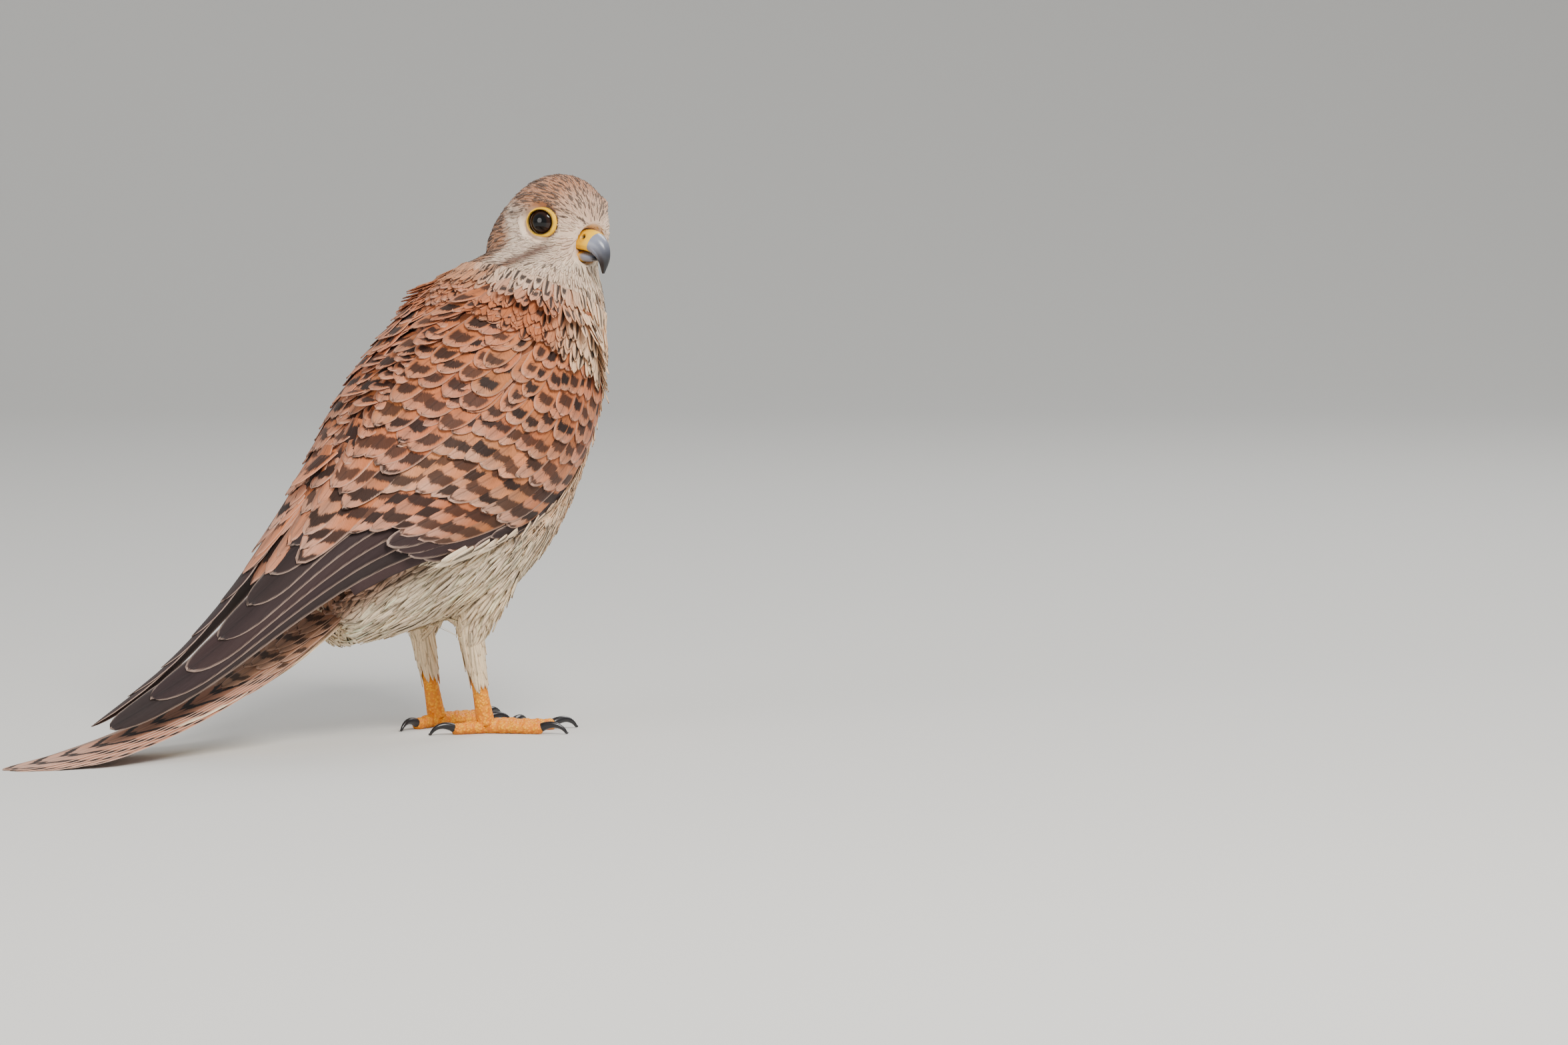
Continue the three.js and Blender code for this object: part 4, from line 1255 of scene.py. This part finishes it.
lid_wrap = tube_quads(LID_RINGS + 1, LID_POINTS) % (LID_RINGS * LID_POINTS)
for side, label in ((1, "left"), (-1, "right")):
    axis = np.array([math.sin(EYE_FORWARD), side * math.cos(EYE_FORWARD), 0])
    up = np.array([0, 0, 1.0])
    ahead = np.cross(up, axis) * -side
    centre = np.array([0, side * EYE_SPREAD, EYE_RISE]) + 0.9 * axis
    polar = np.linspace(0.02, math.pi - 0.02, 48)[:, None]
    offset = spokes(np.cos(polar), np.sin(polar), circle(64), axis, ahead, up)
    bulge = 1 + 0.035 * np.exp(-((polar / 0.55) ** 2))
    tint = blend(IRIS, PUPIL, np.repeat(smooth(0.52, 0.44, polar), 64, axis=1))
    rings = centre + EYE_RADIUS * bulge[..., None] * offset
    head_piece(f"eyeball_{label}", rings, tint, EYE, [f"eye_{label}"])

    around = circle(LID_RINGS)[:, None]
    section = circle(LID_POINTS)
    wide = 0.62 + 0.75 * smooth(-0.2, 1.0, np.cos(around))
    radius = 4.75 + 0.75 * wide + wide * 0.75 * np.cos(section)
    out = 5.3 - 0.1 * (radius - 4.6) + (0.55 + 0.1 * np.sin(9 * around)) * np.sin(section)
    rings = centre + spokes(out, radius, around, axis, ahead, up, LID_SQUASH)
    inner = np.tile(smooth(0.2, -0.75, np.cos(section)), (LID_RINGS, 1))
    lid = blend(YELLOW, LID_EDGE, 0.85 * inner)
    head_piece(f"lid_{label}", rings, lid, CERE, (), lid_wrap[:, ::side])
print("eyes made")

# %% [markdown]
# ## Feet and claws
# The toes are rods whose radius swells at each pad, with rows of broad scales on top. The claws are
# separate, black and strongly curved. They follow the same lines as the solids, with many more rings and
# a little relief.

# %% Rods, and the relief of the scales
TOE_RADIUS = 2.4
CLAW_LENGTH = 10.5
TOES = [("inner", 20, 20), ("middle", -12, 28), ("outer", -48, 21), ("hind", 164, 13)]
TOE_SKIN = srgb(250, 150, 4)
TOE_LIGHT = srgb(255, 178, 20)
# painted shade for the undersides of the toes
TOE_UNDERSIDE_SHADE = srgb(206, 120, 14)
CLAW = srgb(26, 24, 28)


def rod(line, radius, around, relief=None):
    way = unit(np.gradient(line, axis=0))
    across = np.cross([0.0, 0.0, 1.0], way)
    weak = np.linalg.norm(across, axis=1) < 0.2
    across[weak] = [0.0, 1.0, 0.0]
    across = unit(across - way * (across * way).sum(1, keepdims=True))
    other = np.cross(way, across)
    angle = circle(around)
    radius = radius[:, None] * np.ones(around)
    if relief is not None:
        radius = radius + relief(np.arange(len(line))[:, None], angle)
    ring = line[:, None] + (np.cos(angle) * radius)[..., None] * across[:, None]
    return ring + (np.sin(angle) * radius)[..., None] * other[:, None]


def toe_relief(row, angle):
    return 0.16 * np.abs(np.sin(row * 0.55)) * smooth(-0.1, 0.6, np.sin(angle))


def shank_relief(row, angle):
    plates = 0.17 * np.abs(np.sin(row * 0.5)) * smooth(-0.2, 0.7, -np.sin(angle))
    return plates + 0.06 * np.sin(5 * angle + row)


def toe_way(turn):
    return math.cos(math.radians(turn)), math.sin(math.radians(turn))


def on_floor(rings):
    rings[..., 2] = np.maximum(rings[..., 2], 0.0)
    return rings


print("toes:", len(TOES), "on each foot")

# %% The skin of the feet
def toe(turn, length):
    ahead, across = toe_way(turn)
    pads = round(length / 6) + 1
    t = np.linspace(0, 1, 90)
    radius = TOE_RADIUS - 0.5 * t + 0.28 * np.sin(math.pi * pads * t) ** 2
    radius = radius * np.sqrt(np.clip(1 - ((t - 0.93) / 0.075).clip(0, 1) ** 2, 0.05, 1))
    arch = 1.5 * np.sin(math.pi * np.minimum(1, t * 1.2)) * (1 if length > 15 else 0.6)
    rise = TOE_RADIUS - 0.5 * t - 0.3 + arch * 0.2
    line = stack(ahead * length * t, -LEG_SPREAD + across * length * t, rise)
    return on_floor(rod(line, radius, 24, toe_relief))


down = np.linspace(0, 1, 80)
parts = [toe(turn, length) for _, turn, length in TOES]
parts.append(rod(shank_line(down), 2.45 + 0.9 * down**3, 28, shank_relief))
quads, uvs, start = [], [], 0
for k, rings in enumerate(parts):
    rows, around = rings.shape[:2]
    quads.append(closed_quads(rows, around) + start)
    uvs.append((flat_uv(rows, around) * 0.96 + 0.02 + [k, 0]) / [len(parts), 1])
    start += rows * around
points = np.concatenate([rings.reshape(-1, 3) for rings in parts])
quads, uv = np.concatenate(quads), np.concatenate(uvs)
print("quads in each foot:", len(quads))

# %% Claws, and both feet
CLAW_START = math.radians(-35)


def claw(turn, length):
    ahead, across = toe_way(turn)
    t = np.linspace(0, 1, 40)
    swing = np.radians(-35 + 128 * t)
    arm = CLAW_LENGTH * 0.56
    reach = length - 0.7 + arm * (np.sin(swing) - math.sin(CLAW_START)) + 0.7 * smooth(0, 0.3, t)
    rise = 2.2 + arm * (np.cos(swing) - math.cos(CLAW_START)) + 0.25 * t
    line = stack(ahead * reach, -LEG_SPREAD + across * reach, np.maximum(rise, 0.5))
    return on_floor(rod(line, 1.5 * (1 - t) + 0.1, 20))


claw_quads, claw_uv = closed_quads(40, 20), flat_uv(40, 20)
black = np.tile(CLAW, (len(claw_uv), 1))
for side in ("right", "left"):
    flip = side == "left"
    across = -points[:, 1] if flip else points[:, 1]
    tone = 0.5 + 0.5 * np.sin(points[:, 0] * 1.7) * np.sin(across * 1.3)
    # painted shade: the toes darken on their undersides, most where they meet the floor
    base = blend(blend(TOE_SKIN, TOE_LIGHT, tone), TOE_UNDERSIDE_SHADE, 0.6 * smooth(2.2, 0.4, points[:, 2]))
    make_piece(f"foot_skin_{side}", points, quads, FOOT, uv, uv, base, replaces=[f"foot_{side}"], flip=flip)
    for name, turn, length in TOES:
        looks = (HORN, claw_uv, claw_uv, black)
        stands_for = [f"claw_{side}_{name}"]
        rings = claw(turn, length).reshape(-1, 3)
        make_piece(f"claw_horn_{side}_{name}", rings, claw_quads, *looks, replaces=stands_for, flip=flip)
print("claws made:", 2 * len(TOES))

# %% [markdown]
# ## Floor, light and camera
# The photograph was taken in soft daylight with a long lens, from behind the bird's right side and a
# little above. A large soft key light, a weaker fill and a rim light stand in for the sky, and a curved
# pale backdrop catches them. The camera's place comes from the size of the bird in the picture: about
# 4.15 pixels to a millimetre.

# %% Floor and backdrop
VIEW_AZIMUTH = math.radians(-40)
VIEW_RISE = math.radians(5)
BACKDROP_HALF = 7.0
BELOW_SOLES = 0.00005
level = np.array([math.sin(VIEW_AZIMUTH), -math.cos(VIEW_AZIMUTH), 0])
to_camera = level * math.cos(VIEW_RISE) + np.array([0, 0, math.sin(VIEW_RISE)])
across_view = np.array([math.cos(VIEW_AZIMUTH), math.sin(VIEW_AZIMUTH), 0])
profile = [(-6.0, 0.0), (1.6, 0.0)]
profile += [(1.6 + 1.2 * math.sin(a), 1.2 - 1.2 * math.cos(a)) for a in np.linspace(0.1, math.pi / 2, 16)]
profile += [(2.8, 5.0)]
points = []
for forward, rise in profile:
    for sideways in (-BACKDROP_HALF, BACKDROP_HALF):
        x, y, _ = across_view * sideways - level * forward
        points.append([x, y, rise - BELOW_SOLES])
mesh = bpy.data.meshes.new("backdrop")
mesh.from_pydata(points, [], [[2 * k, 2 * k + 1, 2 * k + 3, 2 * k + 2] for k in range(len(profile) - 1)])
mesh.shade_smooth()
mesh.materials.append(make_material("backdrop", Roughness=0.9, Base_Color=(0.66, 0.66, 0.64, 1)))
put("backdrop", mesh)
print("strips in the backdrop:", len(mesh.polygons))

# %% Lights
def area_light(name, direction, distance, size, power, colour=(1, 1, 1)):
    data = bpy.data.lights.new(name, "AREA")
    data.shape = "DISK"
    data.size = size
    data.energy = power
    data.color = colour
    light = put(name, data)
    at = Vector(direction).normalized() * distance
    light.location = at + Vector((0, 0, 0.1))
    light.rotation_euler = (-at).to_track_quat("-Z", "Y").to_euler()
    print(name, "light of", power, "W at", distance, "m")


up = np.array([0, 0, 1.0])
area_light("key", to_camera * 0.9 + across_view * 0.55 + up, 1.6, 0.8, 34, (1.0, 0.96, 0.91))
area_light("fill", to_camera * 0.9 - across_view * 1.0 + up * 0.2, 1.9, 1.3, 17, (1.0, 0.97, 0.94))
area_light("rim", -to_camera * 0.8 + across_view * 0.6 + up, 1.7, 0.8, 12)
world = bpy.data.worlds.new("sky")
world.use_nodes = True
sky = world.node_tree.nodes["Background"]
sky.inputs[0].default_value = (0.92, 0.92, 0.93, 1)
sky.inputs[1].default_value = 0.5
bpy.context.scene.world = world

# %% Camera
PICTURE = (2352, 1568)
PX_PER_MM = 4.15
CROWN_PX = (829, 261)
CROWN_MM = (33.3, 201.3)
DISTANCE = 3.0
sideways = CROWN_MM[0] + (PICTURE[0] / 2 - CROWN_PX[0]) / PX_PER_MM
upward = CROWN_MM[1] - (PICTURE[1] / 2 - CROWN_PX[1]) / PX_PER_MM
aim = Vector(to_row(across_view * sideways + up * upward))
camera_data = bpy.data.cameras.new("camera")
camera_data.sensor_width = 36
camera_data.lens = 36 * DISTANCE / (PICTURE[0] / PX_PER_MM / 1000)
camera_data.clip_start = 0.05
camera = put("camera", camera_data)
camera.location = aim + Vector(to_camera) * DISTANCE
camera.rotation_euler = Vector(to_camera).to_track_quat("Z", "Y").to_euler()
bpy.context.scene.camera = camera
print("lens:", round(camera_data.lens, 1))
